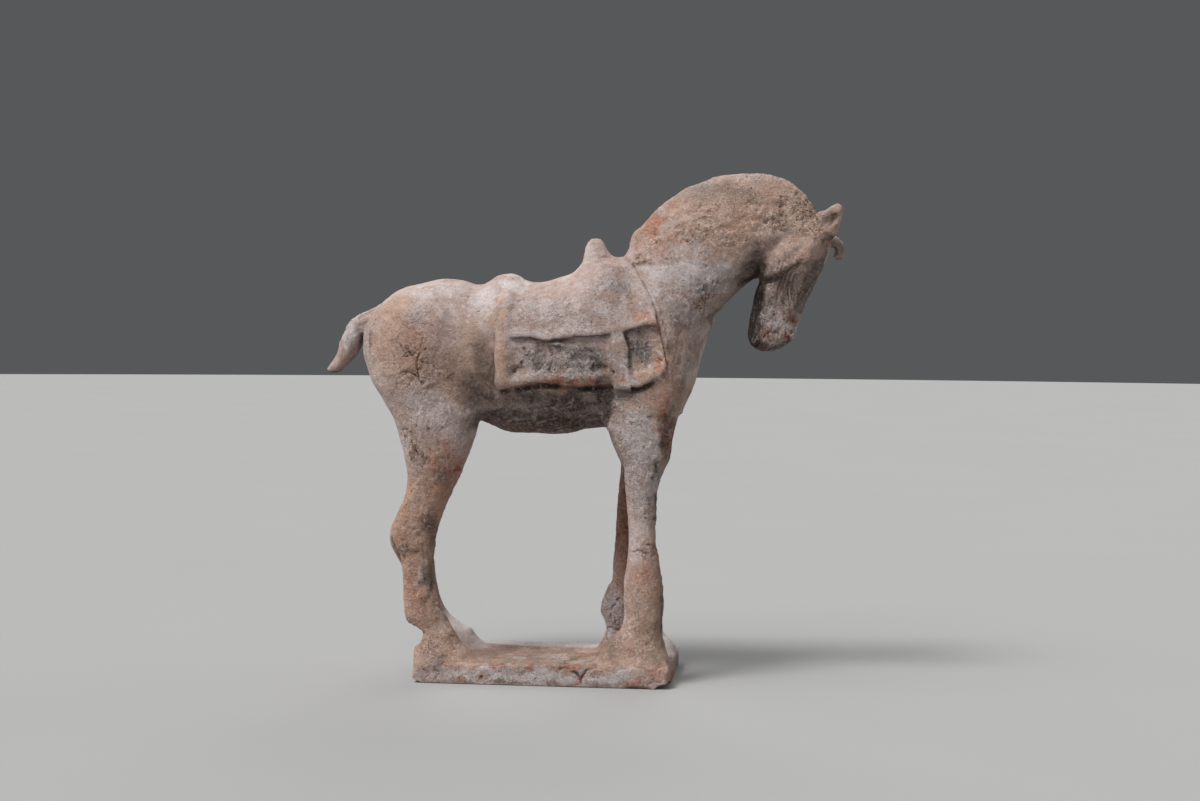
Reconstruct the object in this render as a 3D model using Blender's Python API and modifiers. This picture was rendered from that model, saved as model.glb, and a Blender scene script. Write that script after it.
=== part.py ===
"""Terracotta horse: a saddled pottery horse with a hogged mane, fired as one with its slab base.

Run with: blender --background --python part.py
Units: metres, +Z up.  Origin: centre of the underside of the base.  The horse faces +X.

The horse, its saddle and its base are one piece of fired clay, so they become one closed solid.
Each form is a loft through a short table of stations.  The forms are joined with a voxel Remesh,
eased with a Smooth, reduced with a Decimate and cut flat on the underside with a Boolean.
"""
import math

import bmesh
import bpy
from mathutils import Vector

# ------------------------------------------------------------------ named sizes (millimetres)
MM = 0.001
BASE_LENGTH = 150.0        # along X
BASE_WIDTH = 87.0          # along Y
BASE_HEIGHT = 12.1
BASE_EDGE = 2.6            # rounding of the slab's edges
CUT_DEPTH = 8.0            # how far the forms run below the underside before it is cut flat
VOXEL = 1.2                # remesh grain
KEEP = 0.0335              # share of the remeshed faces that the reduced solid keeps

# saddle: outline heights and positions in side view, and how far each level stands proud
SADDLE_REAR = -27.6        # rear rim
SADDLE_RIM = 8.6           # width of the raised rear rim
SADDLE_HEM = 173.6         # bottom hem of the saddle cloth
SADDLE_BAND = 7.5          # height of the raised band along the bottom hem
COVER_HEM = 202.0          # lower edge of the upper cover
COVER_STEP = 3.4           # the cover drops its hem less in front of the strap
STRAP_TOP_X, STRAP_FOOT_X = 43.0, 46.8
STRAP_TOP_W, STRAP_FOOT_W = 3.6, 5.2     # half widths
LEVEL_CLOTH = 1.7          # recessed panels
LEVEL_COVER = 3.6          # cover, rim, strap
LEVEL_BAND = 3.1
POMMEL_RISE = 14.6         # pommel arch above the back

# Station tables.  Every station is a flat section through the form:
# (x0, z0, x1, z1, y, half_y, squareness, widest)
# The chord runs from (x0, z0) to (x1, z1) at the given y; half_y is the half width across it;
# squareness 2 is an ellipse; widest is where along the chord the section is widest.
TORSO = (
    (-113.2, 189.0, -113.2, 207.0, 0, 9.0, 2.0, 0.50),
    (-109.6, 178.0, -109.6, 215.0, 0, 20.0, 2.0, 0.50),
    (-102.6, 168.0, -102.6, 223.0, 0, 29.0, 2.1, 0.50),
    (-91.5, 158.0, -91.5, 230.6, 0, 34.5, 2.2, 0.50),
    (-78.0, 152.0, -78.0, 234.8, 0, 37.0, 2.3, 0.49),
    (-66.0, 150.5, -66.0, 237.6, 0, 37.5, 2.3, 0.48),
    (-54.0, 151.5, -54.0, 236.4, 0, 37.0, 2.3, 0.47),
    (-44.0, 152.5, -44.0, 233.8, 0, 36.3, 2.3, 0.46),
    (-38.0, 151.0, -38.0, 235.0, 0, 35.9, 2.3, 0.45),
    (-33.0, 148.6, -33.0, 238.2, 0, 35.7, 2.3, 0.44),
    (-27.5, 146.4, -27.5, 239.6, 0, 35.6, 2.3, 0.44),
    (-21.5, 145.4, -21.5, 238.3, 0, 35.6, 2.3, 0.44),
    (-14.0, 145.2, -14.0, 235.4, 0, 35.5, 2.3, 0.45),
    (-6.0, 145.0, -6.0, 234.6, 0, 35.4, 2.3, 0.45),
    (4.0, 144.4, 4.0, 237.4, 0, 35.4, 2.3, 0.45),
    (13.0, 145.4, 13.0, 240.6, 0, 35.3, 2.3, 0.45),
    (22.0, 148.0, 22.0, 246.6, 0, 35.0, 2.3, 0.45),
    (36.0, 149.4, 36.0, 250.2, 0, 34.4, 2.3, 0.45),
    (48.0, 151.0, 48.0, 246.4, 0, 33.4, 2.3, 0.45),
    (58.0, 152.5, 58.0, 243.5, 0, 32.0, 2.3, 0.45),
    (67.0, 155.0, 67.0, 238.0, 0, 29.5, 2.3, 0.45),
    (76.0, 161.0, 76.0, 222.0, 0, 24.0, 2.2, 0.45),
    (81.5, 168.0, 81.5, 203.0, 0, 16.0, 2.1, 0.45),
    (84.0, 176.0, 84.0, 190.0, 0, 7.0, 2.0, 0.50),
)
NECK = (
    (64.0, 162.0, 36.0, 232.0, 0, 26.0, 2.2, 0.45),
    (81.0, 172.5, 43.0, 245.0, 0, 26.0, 2.2, 0.42),
    (88.6, 189.0, 54.0, 259.0, 0, 23.8, 2.2, 0.40),
    (95.0, 208.0, 67.0, 274.5, 0, 20.8, 2.1, 0.38),
    (101.2, 219.6, 80.5, 285.0, 0, 18.6, 2.0, 0.37),
    (107.0, 226.2, 94.0, 291.0, 0, 17.2, 2.0, 0.36),
    (112.8, 231.6, 109.0, 294.5, 0, 16.2, 2.0, 0.36),
    (118.5, 236.6, 125.0, 294.5, 0, 15.6, 2.0, 0.36),
    (124.5, 240.0, 140.0, 288.0, 0, 14.8, 2.0, 0.38),
    (130.0, 245.0, 150.0, 277.0, 0, 12.5, 2.0, 0.42),
)
MANE = (
    (46.6, 243.0, 46.8, 259.5, 0, 4.6, 2.6, 0.40),
    (49.2, 243.0, 49.2, 265.0, 0, 5.8, 3.0, 0.35),
    (56.0, 248.0, 55.5, 270.8, 0, 6.4, 3.2, 0.30),
    (67.0, 255.0, 64.3, 280.4, 0, 6.8, 3.2, 0.25),
    (80.0, 262.0, 76.2, 289.4, 0, 7.2, 3.2, 0.22),
    (92.0, 266.0, 88.0, 294.8, 0, 7.4, 3.2, 0.20),
    (104.0, 268.0, 100.0, 298.4, 0, 7.4, 3.2, 0.20),
    (116.0, 269.0, 114.8, 300.2, 0, 7.2, 3.2, 0.20),
    (127.0, 268.0, 129.2, 299.4, 0, 7.0, 3.2, 0.20),
    (136.0, 266.0, 141.0, 294.8, 0, 6.8, 3.2, 0.22),
    (142.0, 263.0, 149.8, 287.6, 0, 6.6, 3.0, 0.25),
    (146.0, 260.0, 155.4, 280.2, 0, 6.4, 2.6, 0.30),
    (149.0, 258.0, 158.0, 274.0, 0, 5.0, 2.2, 0.40),
)
HEAD = (
    (138.0, 266.0, 154.0, 277.0, 0, 8.0, 2.0, 0.50),
    (133.0, 259.0, 162.0, 271.5, 0, 13.5, 2.1, 0.55),
    (129.0, 250.0, 165.4, 260.5, 0, 15.6, 2.2, 0.58),
    (126.0, 242.0, 163.6, 251.5, 0, 15.8, 2.2, 0.60),
    (123.0, 235.0, 158.8, 241.0, 0, 14.0, 2.2, 0.62),
    (120.6, 228.0, 154.2, 231.0, 0, 12.4, 2.2, 0.62),
    (119.4, 220.0, 150.2, 221.4, 0, 11.4, 2.2, 0.60),
    (118.0, 212.5, 147.2, 213.5, 0, 11.2, 2.3, 0.58),
    (117.0, 206.0, 145.4, 206.5, 0, 11.4, 2.3, 0.55),
    (118.2, 200.6, 142.4, 201.4, 0, 10.4, 2.3, 0.52),
    (121.6, 197.0, 138.8, 198.4, 0, 8.0, 2.2, 0.50),
    (126.0, 195.0, 133.0, 195.8, 0, 3.5, 2.0, 0.50),
)
EAR_NEAR = (
    (152.0, 270.0, 161.0, 257.0, -7.5, 5.0, 2.0, 0.50),
    (157.2, 276.2, 166.8, 262.0, -10.0, 5.0, 2.0, 0.50),
    (161.8, 277.8, 169.6, 267.5, -11.8, 4.2, 2.0, 0.50),
    (165.8, 280.2, 171.4, 273.0, -13.2, 3.4, 2.0, 0.50),
    (168.4, 281.4, 172.2, 277.4, -14.2, 2.4, 2.0, 0.50),
    (170.0, 281.4, 171.6, 279.8, -14.8, 1.2, 2.0, 0.50),
)
EAR_FAR = (
    (160.0, 264.0, 160.0, 252.0, 6.5, 4.6, 2.0, 0.50),
    (167.2, 266.2, 165.4, 254.4, 10.0, 4.4, 2.0, 0.50),
    (171.2, 262.8, 168.0, 253.8, 12.4, 4.0, 2.0, 0.50),
    (174.2, 258.2, 169.6, 252.8, 14.0, 3.4, 2.0, 0.50),
    (175.2, 254.4, 170.6, 251.4, 15.0, 2.6, 2.0, 0.50),
    (174.2, 251.8, 172.0, 250.6, 15.4, 1.2, 2.0, 0.50),
)
TAIL = (
    (-99.0, 205.0, -99.0, 222.0, 0, 8.5, 2.0, 0.50),
    (-108.5, 203.5, -107.8, 219.8, 0, 8.0, 2.0, 0.50),
    (-115.0, 201.0, -117.8, 215.6, 0, 7.2, 2.0, 0.50),
    (-117.0, 196.0, -124.4, 210.2, 0, 6.8, 2.0, 0.50),
    (-119.0, 191.2, -129.4, 200.0, 0, 6.2, 2.0, 0.50),
    (-124.0, 186.2, -132.4, 190.6, 0, 5.2, 2.0, 0.50),
    (-129.8, 180.6, -136.6, 184.6, 0, 4.0, 2.0, 0.50),
    (-134.6, 179.8, -138.2, 182.2, 0, 2.2, 2.0, 0.50),
)
HIND_NEAR = (
    (-98.0, 216.0, -58.0, 216.0, -17.0, 14.0, 2.2, 0.50),
    (-104.0, 198.0, -50.0, 198.0, -20.0, 17.5, 2.3, 0.50),
    (-104.4, 178.0, -43.0, 178.0, -22.0, 16.5, 2.3, 0.48),
    (-97.4, 165.0, -40.5, 165.0, -23.0, 15.5, 2.3, 0.46),
    (-90.2, 153.0, -42.5, 153.0, -24.0, 14.4, 2.3, 0.45),
    (-86.4, 141.0, -46.6, 141.0, -24.5, 13.2, 2.3, 0.45),
    (-83.4, 129.0, -50.2, 129.0, -25.0, 12.0, 2.3, 0.45),
    (-81.7, 117.5, -54.3, 117.5, -25.0, 10.8, 2.3, 0.47),
    (-84.0, 106.0, -60.8, 106.0, -25.0, 9.8, 2.3, 0.50),
    (-89.6, 94.0, -65.0, 94.0, -25.0, 9.6, 2.3, 0.50),
    (-91.8, 87.0, -66.8, 87.0, -25.0, 9.4, 2.3, 0.50),
    (-89.6, 80.5, -67.8, 80.5, -25.0, 9.0, 2.3, 0.50),
    (-85.6, 71.0, -68.5, 71.0, -25.0, 8.4, 2.3, 0.50),
    (-84.5, 58.0, -67.2, 58.0, -25.0, 8.4, 2.3, 0.50),
    (-83.8, 46.0, -62.4, 46.0, -25.0, 9.0, 2.3, 0.50),
    (-82.6, 36.0, -58.6, 36.0, -25.0, 9.8, 2.3, 0.50),
    (-79.6, 31.6, -56.4, 31.6, -25.0, 10.2, 2.3, 0.50),
    (-73.0, 27.5, -53.6, 27.5, -25.2, 11.0, 2.4, 0.50),
    (-75.6, 21.5, -49.6, 21.5, -25.6, 12.6, 2.5, 0.50),
    (-77.4, 15.0, -43.5, 15.0, -26.0, 14.2, 2.6, 0.50),
    (-77.0, 8.0, -40.0, 8.0, -26.0, 15.0, 2.6, 0.50),
)
HIND_FAR = (
    (-98.0, 216.0, -60.0, 216.0, 17.0, 14.0, 2.2, 0.50),
    (-105.0, 198.0, -54.0, 198.0, 20.0, 17.5, 2.3, 0.50),
    (-105.0, 178.0, -48.0, 178.0, 22.0, 16.5, 2.3, 0.48),
    (-100.0, 165.0, -46.0, 165.0, 23.0, 15.5, 2.3, 0.46),
    (-97.0, 152.0, -47.9, 152.0, 24.0, 14.4, 2.3, 0.45),
    (-94.6, 139.0, -49.8, 139.0, 24.5, 13.2, 2.3, 0.45),
    (-93.0, 126.0, -54.2, 126.0, 25.0, 12.0, 2.3, 0.45),
    (-93.2, 113.5, -60.8, 113.5, 25.0, 10.8, 2.3, 0.47),
    (-95.6, 101.0, -69.2, 101.0, 25.0, 9.8, 2.3, 0.50),
    (-101.4, 89.0, -77.0, 89.0, 25.0, 9.6, 2.3, 0.50),
    (-104.2, 79.5, -78.8, 79.5, 25.0, 9.4, 2.3, 0.50),
    (-102.6, 71.5, -77.4, 71.5, 25.0, 9.0, 2.3, 0.50),
    (-97.2, 62.0, -76.2, 62.0, 25.0, 8.6, 2.3, 0.50),
    (-93.6, 51.0, -74.6, 51.0, 25.0, 8.8, 2.3, 0.50),
    (-90.5, 40.0, -72.0, 40.0, 25.0, 9.4, 2.3, 0.50),
    (-87.0, 32.0, -67.6, 32.0, 25.0, 10.2, 2.3, 0.50),
    (-80.0, 26.5, -62.5, 26.5, 25.2, 11.2, 2.4, 0.50),
    (-78.0, 21.0, -54.0, 21.0, 25.6, 12.6, 2.5, 0.50),
    (-77.4, 15.0, -48.5, 15.0, 26.0, 14.2, 2.6, 0.50),
    (-77.0, 8.0, -44.0, 8.0, 26.0, 15.0, 2.6, 0.50),
)
FORE_NEAR = (
    (46.0, 200.0, 78.0, 200.0, -17.0, 12.0, 2.2, 0.50),
    (42.0, 182.0, 83.0, 182.0, -20.0, 13.5, 2.3, 0.50),
    (37.0, 166.0, 80.5, 166.0, -22.0, 13.5, 2.3, 0.50),
    (35.0, 153.0, 77.0, 153.0, -22.6, 13.0, 2.3, 0.50),
    (39.8, 143.0, 74.7, 143.0, -23.0, 12.6, 2.3, 0.50),
    (44.6, 131.5, 73.0, 131.5, -23.6, 11.6, 2.3, 0.50),
    (46.8, 125.0, 70.0, 125.0, -24.0, 10.8, 2.3, 0.50),
    (47.8, 114.0, 67.0, 114.0, -24.4, 9.6, 2.3, 0.50),
    (49.0, 98.0, 65.8, 98.0, -24.6, 8.8, 2.3, 0.50),
    (49.8, 84.5, 66.1, 84.5, -24.8, 8.8, 2.3, 0.50),
    (49.2, 72.0, 67.8, 72.0, -25.0, 9.4, 2.3, 0.50),
    (47.6, 60.0, 69.7, 60.0, -25.0, 10.8, 2.3, 0.50),
    (47.6, 50.0, 70.4, 50.0, -25.0, 11.6, 2.3, 0.50),
    (47.4, 38.0, 70.1, 38.0, -25.0, 12.0, 2.3, 0.50),
    (44.4, 31.0, 70.2, 31.0, -25.0, 12.4, 2.3, 0.50),
    (38.6, 25.5, 71.0, 25.5, -25.2, 13.2, 2.4, 0.50),
    (34.8, 19.5, 73.0, 19.5, -25.6, 14.6, 2.5, 0.50),
    (31.5, 14.0, 74.2, 14.0, -26.0, 15.6, 2.6, 0.50),
    (30.0, 8.0, 74.5, 8.0, -26.0, 16.0, 2.6, 0.50),
)
FORE_FAR = (
    (44.0, 200.0, 76.0, 200.0, 17.0, 12.0, 2.2, 0.50),
    (40.0, 182.0, 80.0, 182.0, 20.0, 13.5, 2.3, 0.50),
    (34.0, 166.0, 77.0, 166.0, 22.0, 13.5, 2.3, 0.50),
    (31.0, 153.0, 72.0, 153.0, 22.6, 13.0, 2.3, 0.50),
    (34.5, 139.0, 68.0, 139.0, 23.0, 12.4, 2.3, 0.50),
    (40.0, 125.0, 65.0, 125.0, 23.6, 11.2, 2.3, 0.50),
    (38.8, 112.0, 60.5, 112.0, 24.0, 10.0, 2.3, 0.50),
    (37.8, 98.0, 57.0, 98.0, 24.4, 9.2, 2.3, 0.50),
    (36.8, 82.0, 55.2, 82.0, 24.6, 8.8, 2.3, 0.50),
    (35.6, 67.0, 56.4, 67.0, 24.8, 9.6, 2.3, 0.50),
    (34.8, 55.0, 58.5, 55.0, 25.0, 10.8, 2.3, 0.50),
    (30.2, 44.5, 60.4, 44.5, 25.0, 11.8, 2.3, 0.50),
    (28.0, 35.5, 62.0, 35.5, 25.0, 12.0, 2.3, 0.50),
    (31.6, 25.5, 65.0, 25.5, 25.0, 12.4, 2.3, 0.50),
    (30.6, 20.0, 68.0, 20.0, 25.4, 13.6, 2.4, 0.50),
    (27.5, 14.5, 71.0, 14.5, 26.0, 15.4, 2.6, 0.50),
    (26.0, 8.0, 72.0, 8.0, 26.0, 16.0, 2.6, 0.50),
)
# the clay fills the space between the shoulders and between the thighs high up
BRISKET = (
    (40.0, 150.0, 40.0, 190.0, 0, 24.0, 2.2, 0.55),
    (52.0, 146.0, 52.0, 195.0, 0, 26.0, 2.2, 0.55),
    (66.0, 148.0, 66.0, 198.0, 0, 25.0, 2.2, 0.55),
    (78.0, 158.0, 78.0, 195.0, 0, 19.0, 2.2, 0.50),
)
# rounded lumps: (x, y, z, radius_x, radius_y, radius_z, turn in degrees about Y)
LUMPS = {
    "jowl_near": (139.0, -9.6, 251.0, 14.2, 8.6, 11.6, -28.0),
    "jowl_far": (139.0, 9.6, 251.0, 14.2, 8.6, 11.6, -28.0),
    "brow_near": (155.0, -9.5, 256.0, 8.0, 6.6, 5.4, -35.0),
    "brow_far": (155.0, 9.5, 256.0, 8.0, 6.6, 5.4, -35.0),
    "nostril_wing_near": (140.5, -7.5, 205.0, 6.4, 4.8, 5.6, 0.0),
    "nostril_wing_far": (140.5, 7.5, 205.0, 6.4, 4.8, 5.6, 0.0),
}
RINGS_BETWEEN = 4          # extra rings between two stations
RING_POINTS = 40


# ------------------------------------------------------------------ helpers
def clear_scene():
    for obj in list(bpy.data.objects):
        bpy.data.objects.remove(obj, do_unlink=True)


def collection(name, hidden=False):
    col = bpy.data.collections.new(name)
    bpy.context.scene.collection.children.link(col)
    col.hide_render = hidden
    return col


def clay_material(name, color, roughness):
    mat = bpy.data.materials.new(name)
    mat.use_nodes = True
    shader = mat.node_tree.nodes["Principled BSDF"]
    shader.inputs["Base Color"].default_value = (*color, 1.0)
    shader.inputs["Roughness"].default_value = roughness
    shader.inputs["Metallic"].default_value = 0.0
    return mat


def eased(rows, steps):
    """Catmull-Rom through the stations, with `steps` rings between each pair."""
    out = []
    for i in range(len(rows) - 1):
        a = rows[max(i - 1, 0)]
        b, c = rows[i], rows[i + 1]
        d = rows[min(i + 2, len(rows) - 1)]
        for k in range(steps + 1):
            t = k / (steps + 1)
            out.append(tuple(
                0.5 * (2 * q + (r - p) * t + (2 * p - 5 * q + 4 * r - s) * t * t
                       + (3 * q - p - 3 * r + s) * t * t * t)
                for p, q, r, s in zip(a, b, c, d)))
    out.append(tuple(float(v) for v in rows[-1]))
    return out


def power(value, exponent):
    return math.copysign(abs(value) ** exponent, value)


def section(row, count):
    """One ring: a superellipse whose widest line need not be in the middle of its chord."""
    x0, z0, x1, z1, y, half_y, square, widest = row
    ring = []
    for k in range(count):
        turn = 2 * math.pi * k / count
        along = power(math.cos(turn), 2.0 / square)
        across = power(math.sin(turn), 2.0 / square)
        pos = widest + along * (widest if along < 0 else 1.0 - widest)
        ring.append(Vector((x0 + (x1 - x0) * pos, y + half_y * across, z0 + (z1 - z0) * pos)))
    return ring


def loft(rows, steps=RINGS_BETWEEN, count=RING_POINTS, relief=None):
    """Closed tube through the stations; relief(point, outward) may push a point outwards."""
    bm = bmesh.new()
    rings = []
    for row in eased(rows, steps):
        pts = section(row, count)
        if relief:
            middle = sum(pts, Vector()) / count
            pts = [p + relief(p, (p - middle)) for p in pts]
        rings.append([bm.verts.new(p * MM) for p in pts])
    for lower, upper in zip(rings, rings[1:]):
        for k in range(count):
            bm.faces.new((lower[k], lower[(k + 1) % count], upper[(k + 1) % count], upper[k]))
    bm.faces.new(list(reversed(rings[0])))
    bm.faces.new(rings[-1])
    bmesh.ops.recalc_face_normals(bm, faces=bm.faces)
    return bm


def lump(spec):
    x, y, z, rx, ry, rz, turn = spec
    bm = bmesh.new()
    bmesh.ops.create_uvsphere(bm, u_segments=28, v_segments=18, radius=1.0)
    c, s = math.cos(math.radians(turn)), math.sin(math.radians(turn))
    for v in bm.verts:
        px, py, pz = v.co.x * rx, v.co.y * ry, v.co.z * rz
        v.co = Vector((x + c * px + s * pz, y + py, z - s * px + c * pz)) * MM
    return bm


def slab(length, width, low, high, edge):
    """Rounded slab: a cube with bevelled edges."""
    bm = bmesh.new()
    bmesh.ops.create_cube(bm, size=1.0)
    for v in bm.verts:
        v.co = Vector((v.co.x * length, v.co.y * width, low if v.co.z < 0 else high)) * MM
    bmesh.ops.bevel(bm, geom=list(bm.edges), offset=edge * MM, segments=4, profile=0.5,
                    affect="EDGES", clamp_overlap=True)
    return bm


def smooth_step(value, low, high):
    t = min(max((value - low) / (high - low), 0.0), 1.0)
    return t * t * (3 - 2 * t)


def inside(value, low, high, soft=1.2):
    """1 between low and high, falling to 0 outside over a short soft edge."""
    return smooth_step(value, low - soft, low) * (1.0 - smooth_step(value, high, high + soft))


def saddle_front(z):
    """Front edge of the saddle cloth in side view: it slopes forward and down."""
    return 50.0 + 20.5 * (1.0 - ((z - 188.0) / 56.0) ** 1.5 if z > 188.0 else 1.0)


def cloth_hem(x):
    """Bottom hem of the saddle cloth: gently wavy, rising at the shoulder."""
    rise = 7.0 * smooth_step(x, 54.0, 70.0)
    return SADDLE_HEM + 1.6 * math.sin((x + 20.0) * 0.085) + rise


def cover_hem(x):
    return COVER_HEM + COVER_STEP * smooth_step(x, 34.0, 39.0) + 3.0 * smooth_step(x, 50.0, 62.0)


def saddle_relief(p, outward):
    """How the saddle stands proud of the barrel, as a push out from the section's middle."""
    x, z = p.x, p.z
    cloth = inside(x, SADDLE_REAR, saddle_front(z)) * smooth_step(z, cloth_hem(x) - 1.2, cloth_hem(x))
    if cloth <= 0.0:
        return Vector()
    cover = smooth_step(z, cover_hem(x) - 1.2, cover_hem(x) + 0.4)
    rim = inside(x, SADDLE_REAR, SADDLE_REAR + SADDLE_RIM)
    drop = min(max((205.0 - z) / 32.0, 0.0), 1.0)
    middle = STRAP_TOP_X + (STRAP_FOOT_X - STRAP_TOP_X) * drop
    half = STRAP_TOP_W + (STRAP_FOOT_W - STRAP_TOP_W) * drop
    strap = inside(x, middle - half, middle + half)
    band = 1.0 - smooth_step(z, cloth_hem(x) + SADDLE_BAND, cloth_hem(x) + SADDLE_BAND + 2.0)
    level = max(LEVEL_CLOTH, LEVEL_COVER * max(cover, rim, strap), LEVEL_BAND * band)
    level *= 1.0 - 0.8 * smooth_step(z, 222.0, 236.0)
    side = Vector((0.0, outward.y, 0.45 * outward.z))
    push = side.normalized() * level * cloth
    # pommel arch over the withers: steep behind, sloping in front
    rise = smooth_step(x, 18.8, 24.4) * (1.0 - smooth_step(x, 27.6, 36.5))
    arch = max(0.0, 1.0 - (p.y / 17.0) ** 2)
    push.z += smooth_step(z, 214.0, 232.0) * POMMEL_RISE * rise * arch
    return push


def add_form(name, bm, into):
    mesh = bpy.data.meshes.new(name)
    bm.to_mesh(mesh)
    bm.free()
    obj = bpy.data.objects.new(name, mesh)
    into.objects.link(obj)
    return obj


# ------------------------------------------------------------------ build
def main():
    clear_scene()
    horse_col = collection("terracotta_horse_parts")
    cutter_col = collection("cutters", hidden=True)
    clay = clay_material("terracotta", (0.50, 0.36, 0.28), 0.92)

    forms = bmesh.new()
    pieces = [loft(TORSO, steps=9, count=128, relief=saddle_relief)]
    pieces += [loft(rows) for rows in (NECK, MANE, HEAD, EAR_NEAR, EAR_FAR, TAIL, BRISKET,
                                       HIND_NEAR, HIND_FAR, FORE_NEAR, FORE_FAR)]
    pieces += [lump(spec) for spec in LUMPS.values()]
    pieces.append(slab(BASE_LENGTH, BASE_WIDTH, -CUT_DEPTH, BASE_HEIGHT, BASE_EDGE))
    scratch = bpy.data.meshes.new("form")
    for piece in pieces:
        piece.to_mesh(scratch)
        piece.free()
        forms.from_mesh(scratch)
    bpy.data.meshes.remove(scratch)
    horse = add_form("terracotta_horse", forms, horse_col)
    horse.data.materials.append(clay)

    remesh = horse.modifiers.new("join_clay", "REMESH")
    remesh.mode = "VOXEL"
    remesh.voxel_size = VOXEL * MM
    remesh.adaptivity = 0.0
    remesh.use_smooth_shade = True
    ease = horse.modifiers.new("ease", "SMOOTH")
    ease.factor = 0.5
    ease.iterations = 4
    reduce = horse.modifiers.new("reduce", "DECIMATE")
    reduce.decimate_type = "COLLAPSE"
    reduce.ratio = KEEP
    reduce.use_collapse_triangulate = True

    under = bmesh.new()
    bmesh.ops.create_cube(under, size=1.0)
    for v in under.verts:
        v.co = Vector((v.co.x * 400.0, v.co.y * 200.0, -60.0 if v.co.z < 0 else 0.0)) * MM
    cutter = add_form("underside_cutter", under, cutter_col)
    cutter.hide_render = True
    cutter.display_type = "WIRE"
    flat = horse.modifiers.new("flat_underside", "BOOLEAN")
    flat.operation = "DIFFERENCE"
    flat.object = cutter
    flat.solver = "EXACT"


main()
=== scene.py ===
import math

import bmesh
import bpy
import numpy as np
from mathutils import Matrix, Vector


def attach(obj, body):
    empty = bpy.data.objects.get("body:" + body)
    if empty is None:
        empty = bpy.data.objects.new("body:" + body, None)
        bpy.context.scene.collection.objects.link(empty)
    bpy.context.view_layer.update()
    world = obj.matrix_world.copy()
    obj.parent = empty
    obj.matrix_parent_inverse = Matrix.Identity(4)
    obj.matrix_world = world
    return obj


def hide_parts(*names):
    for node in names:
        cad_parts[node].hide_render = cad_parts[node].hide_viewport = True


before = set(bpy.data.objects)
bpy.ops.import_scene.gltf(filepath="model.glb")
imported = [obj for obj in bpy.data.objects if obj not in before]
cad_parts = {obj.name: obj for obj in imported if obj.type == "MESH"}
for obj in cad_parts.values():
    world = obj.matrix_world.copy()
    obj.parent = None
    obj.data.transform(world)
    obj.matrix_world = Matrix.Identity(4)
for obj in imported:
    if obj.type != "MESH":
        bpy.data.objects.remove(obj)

try:
    import openvdb as vdb
except ImportError:
    vdb = None

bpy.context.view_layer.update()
MM = 0.001
GRAIN = 0.6         # pitch of the grid
BAND = 9.6                                 # the distance field is exact this far from a surface
LOW, HIGH = np.array((-145.0, -50.0, -4.0)), np.array((183.0, 50.0, 308.0))
TRIANGLES = 196000

BASE_LENGTH, BASE_WIDTH, BASE_HEIGHT, BASE_EDGE = 150.0, 87.0, 12.1, 2.6

# Station tables, as in the CAD part: (x0, z0, x1, z1, y, half_y, squareness, widest)
TORSO = (
    (-113.2, 189.0, -113.2, 207.0, 0, 9.0, 2.0, 0.50),
    (-109.6, 178.0, -109.6, 215.0, 0, 20.0, 2.0, 0.50),
    (-102.6, 168.0, -102.6, 223.0, 0, 29.0, 2.1, 0.50),
    (-91.5, 158.0, -91.5, 230.6, 0, 34.5, 2.2, 0.50),
    (-78.0, 152.0, -78.0, 234.8, 0, 37.0, 2.3, 0.49),
    (-66.0, 150.5, -66.0, 237.6, 0, 37.5, 2.3, 0.48),
    (-54.0, 151.5, -54.0, 236.4, 0, 37.0, 2.3, 0.47),
    (-44.0, 152.5, -44.0, 233.8, 0, 36.3, 2.3, 0.46),
    (-38.0, 151.0, -38.0, 235.0, 0, 35.9, 2.3, 0.45),
    (-33.0, 148.6, -33.0, 238.2, 0, 35.7, 2.3, 0.44),
    (-27.5, 146.4, -27.5, 239.6, 0, 35.6, 2.3, 0.44),
    (-21.5, 145.4, -21.5, 238.3, 0, 35.6, 2.3, 0.44),
    (-14.0, 145.2, -14.0, 235.4, 0, 35.5, 2.3, 0.45),
    (-6.0, 145.0, -6.0, 234.6, 0, 35.4, 2.3, 0.45),
    (4.0, 144.4, 4.0, 237.4, 0, 35.4, 2.3, 0.45),
    (13.0, 145.4, 13.0, 240.6, 0, 35.3, 2.3, 0.45),
    (22.0, 148.0, 22.0, 246.6, 0, 35.0, 2.3, 0.45),
    (36.0, 149.4, 36.0, 250.2, 0, 34.4, 2.3, 0.45),
    (48.0, 151.0, 48.0, 246.4, 0, 33.4, 2.3, 0.45),
    (58.0, 152.5, 58.0, 243.5, 0, 32.0, 2.3, 0.45),
    (67.0, 155.0, 67.0, 238.0, 0, 29.5, 2.3, 0.45),
    (76.0, 161.0, 76.0, 222.0, 0, 24.0, 2.2, 0.45),
    (81.5, 168.0, 81.5, 203.0, 0, 16.0, 2.1, 0.45),
    (84.0, 176.0, 84.0, 190.0, 0, 7.0, 2.0, 0.50),
)
NECK = (
    (64.0, 162.0, 36.0, 232.0, 0, 26.0, 2.2, 0.45),
    (81.0, 172.5, 43.0, 245.0, 0, 26.0, 2.2, 0.45),
    (88.6, 189.0, 54.0, 259.0, 0, 23.8, 2.1, 0.46),
    (95.0, 208.0, 67.0, 274.5, 0, 20.8, 2.0, 0.46),
    (101.2, 219.6, 80.5, 285.0, 0, 18.8, 1.9, 0.46),
    (107.0, 226.2, 94.0, 291.0, 0, 17.4, 1.9, 0.46),
    (112.8, 231.6, 109.0, 294.5, 0, 16.4, 1.9, 0.45),
    (118.5, 236.6, 125.0, 294.5, 0, 15.6, 1.9, 0.44),
    (124.5, 240.0, 140.0, 288.0, 0, 14.6, 1.9, 0.42),
    (130.0, 245.0, 150.0, 277.0, 0, 12.5, 2.0, 0.42),
)
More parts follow.
